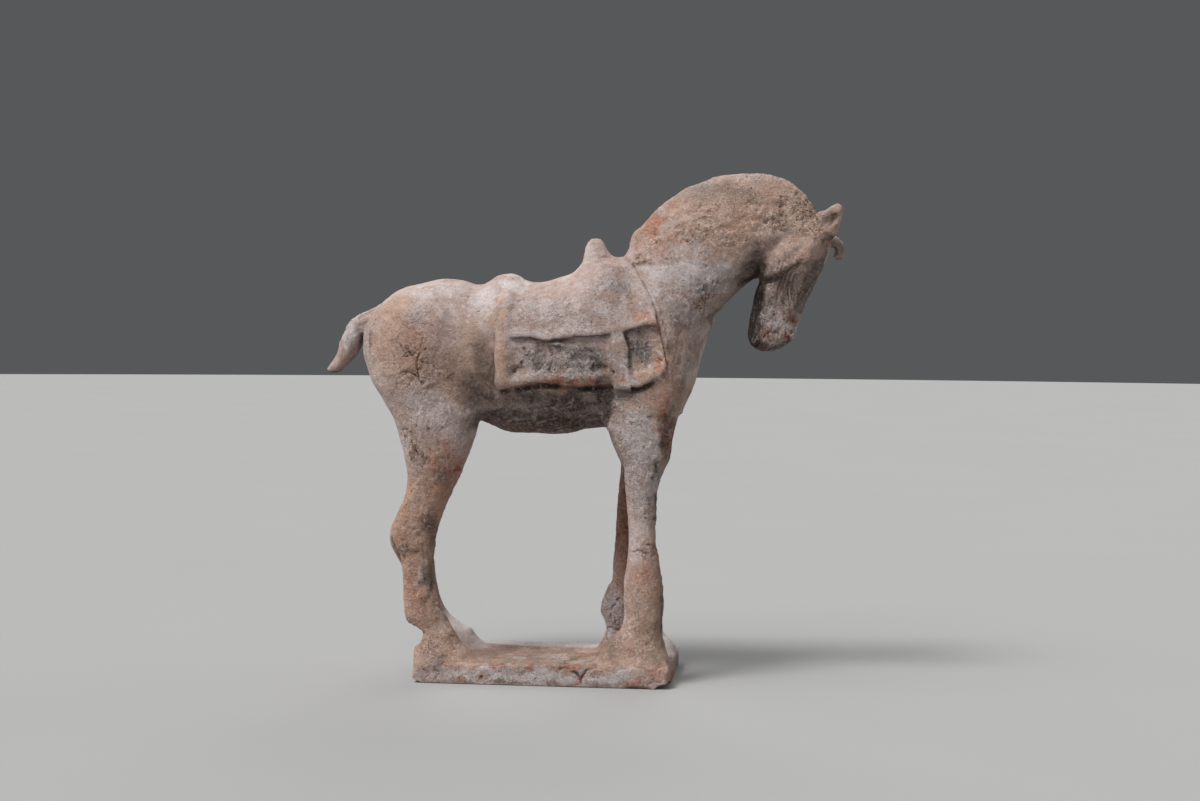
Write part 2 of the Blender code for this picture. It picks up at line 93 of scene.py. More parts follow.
MANE = (
    (46.6, 243.0, 46.8, 259.5, 0, 4.6, 2.6, 0.40),
    (49.2, 243.0, 49.2, 265.0, 0, 5.8, 3.0, 0.35),
    (56.0, 248.0, 55.5, 270.8, 0, 6.4, 3.2, 0.30),
    (67.0, 255.0, 64.3, 280.4, 0, 6.8, 3.2, 0.25),
    (80.0, 262.0, 76.2, 289.4, 0, 7.2, 3.2, 0.22),
    (92.0, 266.0, 88.0, 294.8, 0, 7.4, 3.2, 0.20),
    (104.0, 268.0, 100.0, 298.4, 0, 7.4, 3.2, 0.20),
    (116.0, 269.0, 114.8, 300.2, 0, 7.2, 3.2, 0.20),
    (127.0, 268.0, 129.2, 299.4, 0, 7.0, 3.2, 0.20),
    (136.0, 266.0, 141.0, 294.8, 0, 6.8, 3.2, 0.22),
    (142.0, 263.0, 149.8, 287.6, 0, 6.6, 3.0, 0.25),
    (146.0, 260.0, 155.4, 280.2, 0, 6.4, 2.6, 0.30),
    (149.0, 258.0, 158.0, 274.0, 0, 5.0, 2.2, 0.40),
)
# the head's rows end with how sharply the section narrows to the throat: below 2 is a keel
HEAD = (
    (138.0, 266.0, 154.0, 277.0, 0, 8.0, 2.0, 0.50, 2.0),
    (133.0, 259.0, 162.0, 271.5, 0, 13.0, 2.1, 0.55, 2.0),
    (129.0, 250.0, 165.4, 260.5, 0, 15.0, 2.2, 0.56, 2.0),
    (126.0, 242.0, 163.6, 251.5, 0, 15.0, 2.2, 0.56, 1.9),
    (123.0, 235.0, 158.8, 241.0, 0, 13.2, 2.2, 0.56, 2.3),
    (120.6, 228.0, 154.2, 231.0, 0, 12.2, 2.2, 0.54, 2.5),
    (119.4, 220.0, 150.2, 221.4, 0, 11.4, 2.2, 0.52, 2.6),
    (118.0, 212.5, 147.2, 213.5, 0, 11.2, 2.3, 0.50, 2.5),
    (117.0, 206.0, 145.4, 206.5, 0, 11.2, 2.3, 0.54, 1.90),
    (118.2, 200.6, 142.4, 201.4, 0, 10.2, 2.3, 0.52, 2.10),
    (121.6, 197.0, 138.8, 198.4, 0, 8.0, 2.2, 0.50, 2.10),
    (126.0, 195.0, 133.0, 195.8, 0, 3.5, 2.0, 0.50, 2.00),
)
EAR_NEAR = (
    (150.5, 268.0, 158.0, 258.5, -5.0, 5.0, 2.0, 0.50),
    (157.2, 276.2, 166.8, 262.0, -10.0, 5.0, 2.0, 0.50),
    (161.8, 277.8, 169.6, 267.5, -11.8, 4.2, 2.0, 0.50),
    (165.8, 280.2, 171.4, 273.0, -13.2, 3.4, 2.0, 0.50),
    (168.4, 281.4, 172.2, 277.4, -14.2, 2.4, 2.0, 0.50),
    (170.0, 281.4, 171.6, 279.8, -14.8, 1.2, 2.0, 0.50),
)
EAR_FAR = (     # the far ear droops forward in a crescent: (x, y, z, radius)
    (159.5, 7.0, 259.3, 4.0), (163.4, 8.6, 260.8, 4.3), (167.0, 10.2, 260.2, 4.2), (169.6, 11.8, 258.2, 4.0),
    (170.8, 12.8, 255.6, 3.7), (170.6, 13.2, 253.4, 3.2), (169.4, 13.0, 252.6, 2.4),
)
TAIL = (
    (-99.0, 205.0, -99.0, 222.0, 0, 8.5, 2.0, 0.50),
    (-108.5, 203.5, -107.8, 219.8, 0, 8.0, 2.0, 0.50),
    (-115.0, 201.0, -117.8, 215.6, 0, 7.2, 2.0, 0.50),
    (-117.0, 196.0, -124.4, 210.2, 0, 6.8, 2.0, 0.50),
    (-119.0, 191.2, -129.4, 200.0, 0, 6.2, 2.0, 0.50),
    (-124.0, 186.2, -132.4, 190.6, 0, 5.2, 2.0, 0.50),
    (-129.8, 180.6, -136.6, 184.6, 0, 4.0, 2.0, 0.50),
    (-134.6, 179.8, -138.2, 182.2, 0, 2.2, 2.0, 0.50),
)
HIND_NEAR = (
    (-98.0, 216.0, -58.0, 216.0, -17.0, 14.0, 2.2, 0.50),
    (-104.0, 198.0, -50.0, 198.0, -20.0, 17.5, 2.3, 0.50),
    (-104.4, 178.0, -43.0, 178.0, -22.0, 16.5, 2.3, 0.48),
    (-97.4, 165.0, -38.6, 165.0, -23.0, 15.5, 2.3, 0.46),
    (-90.2, 153.0, -39.6, 153.0, -24.0, 14.4, 2.3, 0.45),
    (-86.4, 141.0, -42.6, 141.0, -24.5, 13.2, 2.3, 0.45),
    (-83.4, 129.0, -46.8, 129.0, -25.0, 12.0, 2.3, 0.45),
    (-81.7, 117.5, -51.8, 117.5, -25.0, 10.8, 2.3, 0.47),
    (-84.0, 106.0, -57.8, 106.0, -25.0, 9.8, 2.3, 0.50),
    (-89.6, 94.0, -62.4, 94.0, -25.0, 9.6, 2.3, 0.50),
    (-91.8, 87.0, -64.6, 87.0, -25.0, 9.4, 2.3, 0.50),
    (-89.6, 80.5, -65.8, 80.5, -25.0, 9.0, 2.3, 0.50),
    (-85.6, 71.0, -67.0, 71.0, -25.0, 8.4, 2.3, 0.50),
    (-84.5, 58.0, -66.4, 58.0, -25.0, 8.4, 2.3, 0.50),
    (-83.8, 46.0, -62.4, 46.0, -25.0, 9.0, 2.3, 0.50),
    (-82.6, 36.0, -58.6, 36.0, -25.0, 9.8, 2.3, 0.50),
    (-79.6, 31.6, -56.4, 31.6, -25.0, 10.2, 2.3, 0.50),
    (-73.0, 27.5, -53.6, 27.5, -25.2, 11.0, 2.4, 0.50),
    (-75.6, 21.5, -49.6, 21.5, -25.6, 12.6, 2.5, 0.50),
    (-77.4, 15.0, -43.5, 15.0, -26.0, 14.2, 2.6, 0.50),
    (-77.0, 8.0, -40.0, 8.0, -26.0, 15.0, 2.6, 0.50),
)
HIND_FAR = (
    (-98.0, 216.0, -60.0, 216.0, 17.0, 14.0, 2.2, 0.50),
    (-105.0, 198.0, -54.0, 198.0, 20.0, 17.5, 2.3, 0.50),
    (-105.0, 178.0, -48.0, 178.0, 22.0, 16.5, 2.3, 0.48),
    (-100.0, 165.0, -49.0, 165.0, 23.0, 15.5, 2.3, 0.46),
    (-97.0, 152.0, -51.5, 152.0, 24.0, 14.4, 2.3, 0.45),
    (-94.6, 139.0, -54.0, 139.0, 24.5, 13.2, 2.3, 0.45),
    (-93.0, 126.0, -58.6, 126.0, 25.0, 12.0, 2.3, 0.45),
    (-93.2, 113.5, -65.0, 113.5, 25.0, 10.8, 2.3, 0.47),
    (-95.6, 101.0, -73.0, 101.0, 25.0, 9.8, 2.3, 0.50),
    (-101.4, 89.0, -77.0, 89.0, 25.0, 9.6, 2.3, 0.50),
    (-104.2, 79.5, -78.8, 79.5, 25.0, 9.4, 2.3, 0.50),
    (-102.6, 71.5, -77.4, 71.5, 25.0, 9.0, 2.3, 0.50),
    (-97.2, 62.0, -76.2, 62.0, 25.0, 8.6, 2.3, 0.50),
    (-93.6, 51.0, -74.6, 51.0, 25.0, 8.8, 2.3, 0.50),
    (-90.5, 40.0, -72.0, 40.0, 25.0, 9.4, 2.3, 0.50),
    (-87.0, 32.0, -67.6, 32.0, 25.0, 10.2, 2.3, 0.50),
    (-80.0, 26.5, -62.5, 26.5, 25.2, 11.2, 2.4, 0.50),
    (-78.0, 21.0, -54.0, 21.0, 25.6, 12.6, 2.5, 0.50),
    (-77.4, 15.0, -48.5, 15.0, 26.0, 14.2, 2.6, 0.50),
    (-77.0, 8.0, -44.0, 8.0, 26.0, 15.0, 2.6, 0.50),
)
FORE_NEAR = (
    (46.0, 200.0, 78.0, 200.0, -17.0, 12.0, 2.2, 0.50),
    (42.0, 182.0, 83.0, 182.0, -20.0, 13.5, 2.3, 0.50),
    (37.0, 166.0, 80.5, 166.0, -22.0, 13.5, 2.3, 0.50),
    (35.0, 153.0, 77.0, 153.0, -22.6, 13.0, 2.3, 0.50),
    (39.8, 143.0, 74.7, 143.0, -23.0, 12.6, 2.3, 0.50),
    (44.6, 131.5, 73.0, 131.5, -23.6, 11.6, 2.3, 0.50),
    (46.8, 125.0, 70.0, 125.0, -24.0, 10.8, 2.3, 0.50),
    (47.8, 114.0, 67.0, 114.0, -24.4, 9.6, 2.3, 0.50),
    (49.0, 98.0, 65.8, 98.0, -24.6, 8.8, 2.3, 0.50),
    (49.8, 84.5, 66.1, 84.5, -24.8, 8.8, 2.3, 0.50),
    (49.2, 72.0, 67.8, 72.0, -25.0, 9.4, 2.3, 0.50),
    (47.6, 60.0, 69.7, 60.0, -25.0, 10.8, 2.3, 0.50),
    (47.6, 50.0, 70.4, 50.0, -25.0, 11.6, 2.3, 0.50),
    (47.4, 38.0, 70.1, 38.0, -25.0, 12.0, 2.3, 0.50),
    (44.4, 31.0, 70.2, 31.0, -25.0, 12.4, 2.3, 0.50),
    (38.6, 25.5, 71.0, 25.5, -25.2, 13.2, 2.4, 0.50),
    (34.8, 19.5, 73.0, 19.5, -25.6, 14.6, 2.5, 0.50),
    (31.5, 14.0, 74.2, 14.0, -26.0, 15.6, 2.6, 0.50),
    (30.0, 8.0, 74.5, 8.0, -26.0, 16.0, 2.6, 0.50),
)
FORE_FAR = (
    (44.0, 200.0, 76.0, 200.0, 17.0, 12.0, 2.2, 0.50),
    (40.0, 182.0, 80.0, 182.0, 20.0, 13.5, 2.3, 0.50),
    (34.0, 166.0, 77.0, 166.0, 22.0, 13.5, 2.3, 0.50),
    (31.0, 153.0, 72.0, 153.0, 22.6, 13.0, 2.3, 0.50),
    (34.5, 139.0, 68.0, 139.0, 23.0, 12.4, 2.3, 0.50),
    (40.0, 125.0, 65.0, 125.0, 23.6, 11.2, 2.3, 0.50),
    (38.8, 112.0, 60.5, 112.0, 24.0, 10.0, 2.3, 0.50),
    (37.8, 98.0, 57.0, 98.0, 24.4, 9.2, 2.3, 0.50),
    (36.8, 82.0, 55.2, 82.0, 24.6, 8.8, 2.3, 0.50),
    (35.6, 67.0, 56.4, 67.0, 24.8, 9.6, 2.3, 0.50),
    (34.8, 55.0, 58.5, 55.0, 25.0, 10.8, 2.3, 0.50),
    (30.2, 44.5, 60.4, 44.5, 25.0, 11.8, 2.3, 0.50),
    (28.0, 35.5, 62.0, 35.5, 25.0, 12.0, 2.3, 0.50),
    (31.6, 25.5, 65.0, 25.5, 25.0, 12.4, 2.3, 0.50),
    (30.6, 20.0, 68.0, 20.0, 25.4, 13.6, 2.4, 0.50),
    (27.5, 14.5, 71.0, 14.5, 26.0, 15.4, 2.6, 0.50),
    (26.0, 8.0, 72.0, 8.0, 26.0, 16.0, 2.6, 0.50),
)
# the clay fills the space between the shoulders and between the thighs high up
BRISKET = (
    (40.0, 150.0, 40.0, 190.0, 0, 24.0, 2.2, 0.55),
    (52.0, 146.0, 52.0, 195.0, 0, 26.0, 2.2, 0.55),
    (66.0, 148.0, 66.0, 198.0, 0, 25.0, 2.2, 0.55),
    (78.0, 158.0, 78.0, 195.0, 0, 19.0, 2.2, 0.50),
)
# rounded lumps: (x, y, z, radius_x, radius_y, radius_z, turn in degrees about Y)
LUMPS = {
    "jowl_near": (139.0, -9.6, 251.0, 14.2, 8.6, 11.6, -28.0),
    "jowl_far": (139.0, 9.6, 251.0, 14.2, 8.6, 11.6, -28.0),
    "brow_near": (155.0, -9.5, 256.0, 8.0, 6.6, 5.4, -35.0),
    "brow_far": (155.0, 9.5, 256.0, 8.0, 6.6, 5.4, -35.0),
    "nostril_wing_near": (140.5, -7.5, 205.0, 6.4, 4.8, 5.6, 0.0),
    "nostril_wing_far": (140.5, 7.5, 205.0, 6.4, 4.8, 5.6, 0.0),
}
# the pommel arch over the withers
POMMEL = (
    (8.0, 230.0, 50.0, 230.0, 0, 21.0, 2.2, 0.50),
    (12.5, 238.0, 46.0, 238.0, 0, 18.5, 2.2, 0.50),
    (16.6, 244.0, 42.0, 244.0, 0, 16.0, 2.3, 0.48),
    (18.6, 248.5, 37.6, 248.5, 0, 13.8, 2.5, 0.45),
    (19.5, 252.3, 34.9, 252.3, 0, 12.0, 2.7, 0.45),
    (20.2, 256.0, 32.4, 256.0, 0, 10.2, 2.8, 0.45),
    (21.6, 259.2, 30.8, 259.2, 0, 8.0, 2.8, 0.48),
    (23.8, 261.2, 29.2, 261.2, 0, 4.6, 2.4, 0.50),
)


# ------------------------------------------------------------------ lofts
def eased(rows, steps):
    """Catmull-Rom through the stations, with `steps` rings between each pair."""
    out = []
    for i in range(len(rows) - 1):
        a = rows[max(i - 1, 0)]
        b, c = rows[i], rows[i + 1]
        d = rows[min(i + 2, len(rows) - 1)]
        for k in range(steps + 1):
            t = k / (steps + 1)
            out.append(tuple(
                0.5 * (2 * q + (r - p) * t + (2 * p - 5 * q + 4 * r - s) * t * t
                       + (3 * q - p - 3 * r + s) * t * t * t)
                for p, q, r, s in zip(a, b, c, d)))
    out.append(tuple(float(v) for v in rows[-1]))
    return out


def power(value, exponent):
    return math.copysign(abs(value) ** exponent, value)


def section(row, count):
    """One ring: a superellipse whose widest line need not be in the middle of its chord."""
    x0, z0, x1, z1, y, half_y, square, widest = row[:8]
    keel = row[8] if len(row) > 8 else square
    ring = []
    for k in range(count):
        turn = 2 * math.pi * k / count
        shape = keel if math.cos(turn) < 0 else square
        along = power(math.cos(turn), 2.0 / shape)
        across = power(math.sin(turn), 2.0 / shape)
        pos = widest + along * (widest if along < 0 else 1.0 - widest)
        ring.append((x0 + (x1 - x0) * pos, y + half_y * across, z0 + (z1 - z0) * pos))
    return ring


def loft(rows, steps=6, count=48):
    """Closed tube through the stations: (points, triangles, quads)."""
    rings = [section(row, count) for row in eased(rows, steps)]
    pts = [p for ring in rings for p in ring]
    quads = []
    for i in range(len(rings) - 1):
        for k in range(count):
            a, b = i * count + k, i * count + (k + 1) % count
            quads.append((a, b, b + count, a + count))
    tris = []
    last = (len(rings) - 1) * count
    for k in range(1, count - 1):
        tris.append((0, k + 1, k))
        tris.append((last, last + k, last + k + 1))
    return np.array(pts, np.float32), np.array(tris, np.uint32), np.array(quads, np.uint32)


def outward(form):
    """Turns a form's faces to look out, whichever way its stations ran."""
    pts, tris, quads = form
    p = pts.astype(float)
    all_tris = np.concatenate([tris, quads[:, [0, 1, 2]], quads[:, [0, 2, 3]]]).astype(int)
    a, b, c = p[all_tris[:, 0]], p[all_tris[:, 1]], p[all_tris[:, 2]]
    if np.einsum("ij,ij->i", a, np.cross(b, c)).sum() < 0:
        tris, quads = tris[:, ::-1].copy(), quads[:, ::-1].copy()
    return pts, tris, quads


# ------------------------------------------------------------------ the distance field
I_LOW = np.floor(LOW / GRAIN).astype(int)
COUNT = np.ceil(HIGH / GRAIN).astype(int) - I_LOW + 1
FIELD = np.full(tuple(COUNT), BAND, np.float32)


def smin(a, b, k):
    """Union with a fillet of reach k."""
    if k <= 0:
        return np.minimum(a, b)
    h = np.maximum(k - np.abs(a - b), 0.0) / k
    return np.minimum(a, b) - h * h * (k * 0.25)


def smax(a, b, k):
    return -smin(-a, -b, k)


def step(value, low, high):
    t = np.clip((value - low) / (high - low), 0.0, 1.0)
    return t * t * (3 - 2 * t)


def window(low, high):
    """Slices of the grid that cover a box in millimetres."""
    i = np.maximum(np.floor(np.array(low) / GRAIN).astype(int) - I_LOW, 0)
    j = np.minimum(np.ceil(np.array(high) / GRAIN).astype(int) - I_LOW + 1, COUNT)
    return tuple(slice(int(a), int(b)) for a, b in zip(i, j))


def axes(win):
    """Open x, y and z coordinates of a window, ready to broadcast."""
    out = []
    for axis, s in enumerate(win):
        line = ((np.arange(s.start, s.stop) + I_LOW[axis]) * GRAIN).astype(np.float32)
        shape = [1, 1, 1]
        shape[axis] = -1
        out.append(line.reshape(shape))
    return out


def form_field(form):
    """Signed distance of a closed form, negative inside, over its own window."""
    pts, tris, quads = outward(form)
    grid = vdb.FloatGrid.createLevelSetFromPolygons(
        pts, triangles=tris, quads=quads, transform=vdb.createLinearTransform(voxelSize=GRAIN),
        halfWidth=BAND / GRAIN)
    win = window(pts.min(0) - BAND, pts.max(0) + BAND)
    values = np.zeros(tuple(s.stop - s.start for s in win), np.float32)
    grid.copyToArray(values, ijk=tuple(int(s.start + o) for s, o in zip(win, I_LOW)))
    return values, win


def unite(values, win, k):
    FIELD[win] = smin(FIELD[win], values, k)


def carve(values, win, k):
    FIELD[win] = smax(FIELD[win], -values, k)


def ellipsoid(x, y, z, c, radii, turn=0.0):
    """Distance to an ellipsoid turned about Y."""
    co, si = math.cos(math.radians(turn)), math.sin(math.radians(turn))
    u = co * (x - c[0]) - si * (z - c[2])
    w = si * (x - c[0]) + co * (z - c[2])
    v = y - c[1]
    k0 = np.sqrt((u / radii[0]) ** 2 + (v / radii[1]) ** 2 + (w / radii[2]) ** 2) + 1e-6
    k1 = np.sqrt((u / radii[0] ** 2) ** 2 + (v / radii[1] ** 2) ** 2 + (w / radii[2] ** 2) ** 2) + 1e-6
    return np.clip(k0 * (k0 - 1.0) / k1, -BAND, BAND).astype(np.float32)


def ball(centre, radii, turn=0.0, grow=BAND):
    """An ellipsoid turned about Y, over its own window."""
    c = np.array(centre, float)
    reach = max(radii[0], radii[2])
    win = window(c - (reach + grow, radii[1] + grow, reach + grow),
                 c + (reach + grow, radii[1] + grow, reach + grow))
    return ellipsoid(*axes(win), c, radii, turn), win


def tube(points, grow=BAND):
    """A chain of round cones through (x, y, z, radius) points, over its own window."""
    p = np.array(points, float)
    reach = p[:, 3].max() + grow
    win = window(p[:, :3].min(0) - reach, p[:, :3].max(0) + reach)
    x, y, z = axes(win)
    best = None
    for a, b in zip(p[:-1], p[1:]):
        d = b[:3] - a[:3]
        t = ((x - a[0]) * d[0] + (y - a[1]) * d[1] + (z - a[2]) * d[2]) / max(float(d @ d), 1e-9)
        t = np.clip(t, 0.0, 1.0)
        dist = np.sqrt((x - a[0] - t * d[0]) ** 2 + (y - a[1] - t * d[1]) ** 2
                       + (z - a[2] - t * d[2]) ** 2) - (a[3] + t * (b[3] - a[3]))
        best = dist if best is None else np.minimum(best, dist)
    return np.clip(best, -BAND, BAND).astype(np.float32), win


def line_distance(x, z, points):
    """Distance from (x, z) to an open line through (x, z) points."""
    best = None
    for (ax, az), (bx, bz) in zip(points[:-1], points[1:]):
        dx, dz = bx - ax, bz - az
        t = np.clip(((x - ax) * dx + (z - az) * dz) / (dx * dx + dz * dz + 1e-9), 0.0, 1.0)
        d = np.hypot(x - ax - t * dx, z - az - t * dz)
        best = d if best is None else np.minimum(best, d)
    return best


def rounded_box(low, high, edge, grow=BAND):
    low, high = np.array(low, float), np.array(high, float)
    win = window(low - grow, high + grow)
    mid, half = (low + high) / 2, (high - low) / 2 - edge
    q = [np.abs(a - m) - h for a, m, h in zip(axes(win), mid, half)]
    out = np.sqrt(sum(np.maximum(v, 0.0) ** 2 for v in q))
    ins = np.minimum(np.maximum(np.maximum(q[0], q[1]), q[2]), 0.0)
    return np.clip(out + ins - edge, -BAND, BAND).astype(np.float32), win


# ------------------------------------------------------------------ saddle
# lines in side view, (x, z)
CLOTH_HEM = ((-32.0, 172.4), (-27.6, 172.7), (-13.5, 174.1), (-1.7, 176.3), (10.0, 176.0), (21.7, 174.6),
             (40.4, 175.6), (52.0, 174.4), (56.7, 174.8), (62.4, 177.4), (68.2, 180.4), (74.0, 188.0))
COVER_HEM = ((-24.0, 201.8), (-18.4, 201.9), (-7.8, 202.2), (1.0, 200.4), (9.8, 201.0), (21.5, 202.8),
             (33.2, 203.2), (37.8, 204.6), (46.5, 205.2), (52.0, 207.6), (59.3, 209.4), (72.0, 210.4))
FRONT_EDGE = ((36.0, 256.0), (43.5, 250.0), (50.3, 243.1), (55.6, 235.0), (60.3, 228.7), (64.5, 220.0),
              (66.9, 210.2), (68.7, 201.5), (70.5, 192.8), (71.7, 186.0), (72.0, 170.0))
REAR_EDGE = ((-25.2, 245.0), (-25.6, 235.6), (-27.2, 206.5), (-27.8, 172.7), (-27.8, 165.0))
RIM_INNER = ((-17.0, 245.0), (-18.0, 235.0), (-18.6, 215.0), (-20.0, 200.0), (-20.6, 172.0), (-20.6, 165.0))
STRAP_LEFT = ((39.2, 215.0), (39.6, 205.3), (41.4, 172.0), (41.6, 165.0))
STRAP_RIGHT = ((46.6, 215.0), (47.1, 205.4), (49.5, 198.4), (52.0, 172.0), (52.4, 165.0))
CLOTH, BAND_LEVEL, COVER, RIM, STRAP = 1.1, 3.1, 3.7, 3.9, 3.7


def height_at(x, line):
    """z of a line that runs along x."""
    return np.interp(x, [p[0] for p in line], [p[1] for p in line]).astype(np.float32)


def place_at(z, line):
    """x of a line that runs down z."""
    return np.interp(z, [p[1] for p in reversed(line)], [p[0] for p in reversed(line)]).astype(np.float32)


def flat_noise(x, z, size, seed):
    """Noise over the side view."""
    p = np.stack([x.ravel(), np.full(x.size, 3.7), z.ravel()], 1)
    return value_noise(p, size, seed).reshape(x.shape)


def saddle_plan(x, z, far):
    """The saddle in side view: (thickness over the body, signed distance to the outline, softness) of each part."""
    seed = 900 if far else 700
    if far:     # the same saddle, a little out of true on the other side
        x = x + 1.3 + 0.9 * np.sin(z * 0.09)
        z = z + 1.1 * np.sin(x * 0.07 + 0.8)
    wander = 0.55 * flat_noise(x, z, 9.0, seed) + 0.30 * flat_noise(x, z, 3.2, seed + 1)
    uneven = 0.40 * flat_noise(x, z, 11.0, seed + 2) + 0.25 * flat_noise(x, z, 4.5, seed + 3)
    hem = height_at(x, CLOTH_HEM) + wander
    cover_hem = height_at(x, COVER_HEM) + wander * 0.8
    front = place_at(z, FRONT_EDGE) + wander * 0.5
    rear = place_at(z, REAR_EDGE) + wander * 0.6
    rim_in = place_at(z, RIM_INNER) + wander
    left, right = place_at(z, STRAP_LEFT) + wander * 0.7, place_at(z, STRAP_RIGHT) + wander * 0.7
    cloth_edge = np.maximum(smax(hem - z, rear - x, 4.0), x - front)
    fade = 1.0 - 0.78 * step(z, 222.0, 237.0)
    lip = np.exp(-((z - cover_hem - 2.2) / 2.6) ** 2)
    # the sunk panels are dished: they rise gently to the rim, the band, the strap and the front edge
    rise = 2.2 * (1.0 - step(x - rim_in, -1.0, 6.5))
    rise = np.maximum(rise, 1.5 * (1.0 - step(z - hem, 4.0, 11.0)))
    rise = np.maximum(rise, 1.3 * (1.0 - step(left - x, 0.0, 4.5)) * (x < left + 1.0))
    rise = np.maximum(rise, 0.7 * (1.0 - step(front - x, 0.5, 5.0)) * (z < 206.0))
    band_top = hem + 4.6 + 2.2 * step(x, 50.0, 56.0) + wander * 1.6
    roll = np.exp(-((x - (rear + rim_in) / 2) / 3.0) ** 2)
    thin = 0.38 + 0.62 * np.maximum(step(front - x, 1.0, 16.0), 1.0 - step(z, 212.0, 224.0))
    panel_front = 1.0 - 0.35 * step(x, 60.0, 68.0)
    parts = [
        ((CLOTH + rise + 0.5 * uneven) * fade * panel_front, cloth_edge, 1.4, 0.8),
        ((BAND_LEVEL + 0.5 * uneven) * fade * panel_front, np.maximum(cloth_edge, z - band_top), 3.4, 2.2),
        ((RIM + 0.8 * roll + 0.3 * uneven) * fade, np.maximum(cloth_edge, x - rim_in), 3.4, 2.4),
        ((STRAP + 0.4 * uneven) * fade, np.maximum(np.maximum((left - x) * 0.7, x - right),
                                                   np.maximum(171.8 - z, z - cover_hem - 2.0)), 1.6, 1.2),
        ((COVER - 0.5 + 0.9 * lip + 0.6 * uneven) * fade * thin,
         np.maximum(np.maximum(cover_hem - z, rear - x), x - front + 0.3), 1.7, 0.7),
    ]
    return parts, hem, cover_hem, rear, right, front


def add_saddle():
    win = window((-44.0, -48.0, 158.0), (84.0, 48.0, 268.0))
    x3, y3, z3 = axes(win)
    x, z = np.broadcast_arrays(x3[:, 0, :], z3[:, 0, :])
    body = FIELD[win].copy()
    share = step(y3, -5.0, 5.0)             # 0 on the near side, 1 on the far side
    near = saddle_plan(x, z, False)
    far = saddle_plan(x, z, True)
    out = body.copy()
    for (level_n, edge_n, soft, fillet), (level_f, edge_f, _, _) in zip(near[0], far[0]):
        level = level_n[:, None, :] * (1 - share) + level_f[:, None, :] * share
        edge = edge_n[:, None, :] * (1 - share) + edge_f[:, None, :] * share
        out = smin(out, smax(body - level, edge, soft), fillet)
    # the loin rises softly to the upper part of the rear rim
    ramp = step(x, -43.0, -27.0) * (1.0 - step(x, -27.0, -19.0)) * step(z, 196.0, 216.0) * 3.0
    ramp *= 1.0 - 0.78 * step(z, 222.0, 237.0)
    out = smin(out, body - ramp[:, None, :], 1.0)
    # thin undercuts below the hems, beside the strap and behind the lower part of the rear rim
    for far_side, (parts, hem, cover, rear, right, front) in ((False, near), (True, far)):
        side = (share < 0.5) if not far_side else (share >= 0.5)
        torn = np.clip(0.55 + 0.55 * flat_noise(x, z, 7.0, 760 + far_side), 0.0, 1.1)
        on_cover = step(x, -19.5, -16.5) * (1 - step(x, 58.0, 64.0)) * torn
        on_hem = step(x, rear - 0.5, rear + 3.0) * (1 - step(x, 64.0, 70.0)) * (0.45 + 0.6 * torn)
        on_strap = step(z, 187.0, 202.0) * (1 - step(z, cover - 1.0, cover + 1.5))
        on_rear = (1 - step(z, 188.0, 202.0)) * torn
        for dist, depth, radius, strength in (
                (z - cover + 0.40, 2.2, 0.66, on_cover), (z - hem + 0.9, 1.3, 1.25, on_hem),
                (x - right - 0.5, 1.9, 1.25, on_strap), (x - rear + 0.7, 0.7, 0.85, on_rear)):
            cut = np.sqrt(dist[:, None, :] ** 2 + (body - depth) ** 2) - radius * strength[:, None, :]
            out = np.where(side, smax(out, -cut, 0.5), out)
    # a fold of clay that has slipped below the cover's hem
    FIELD[win] = out
    unite(*ball((8.0, -35.4, 198.6), (5.2, 2.6, 1.5), 6.0), 1.0)


def side_y(x, z, side):
    """Where the surface lies at (x, z), met from the near (-1) or the far (1) side."""
    i = int(round(x / GRAIN)) - I_LOW[0]
    k = int(round(z / GRAIN)) - I_LOW[2]
    column = FIELD[i, :, k]
    order = range(len(column)) if side < 0 else range(len(column) - 1, -1, -1)
    last = None
    for j in order:
        if column[j] <= 0:
            if last is None:
                break
            t = column[last] / (column[last] - column[j])
            return (last + (j - last) * t + I_LOW[1]) * GRAIN
        last = j
    return 0.0


def along(points, side):
    """Tube points laid on the surface: (x, z, radius, rise) with the middle `rise` above the surface."""
    out = []
    for x, z, radius, rise in points:
        y = side_y(x, z, side)
        out.append((x, y + side * rise, z, radius))
    return out


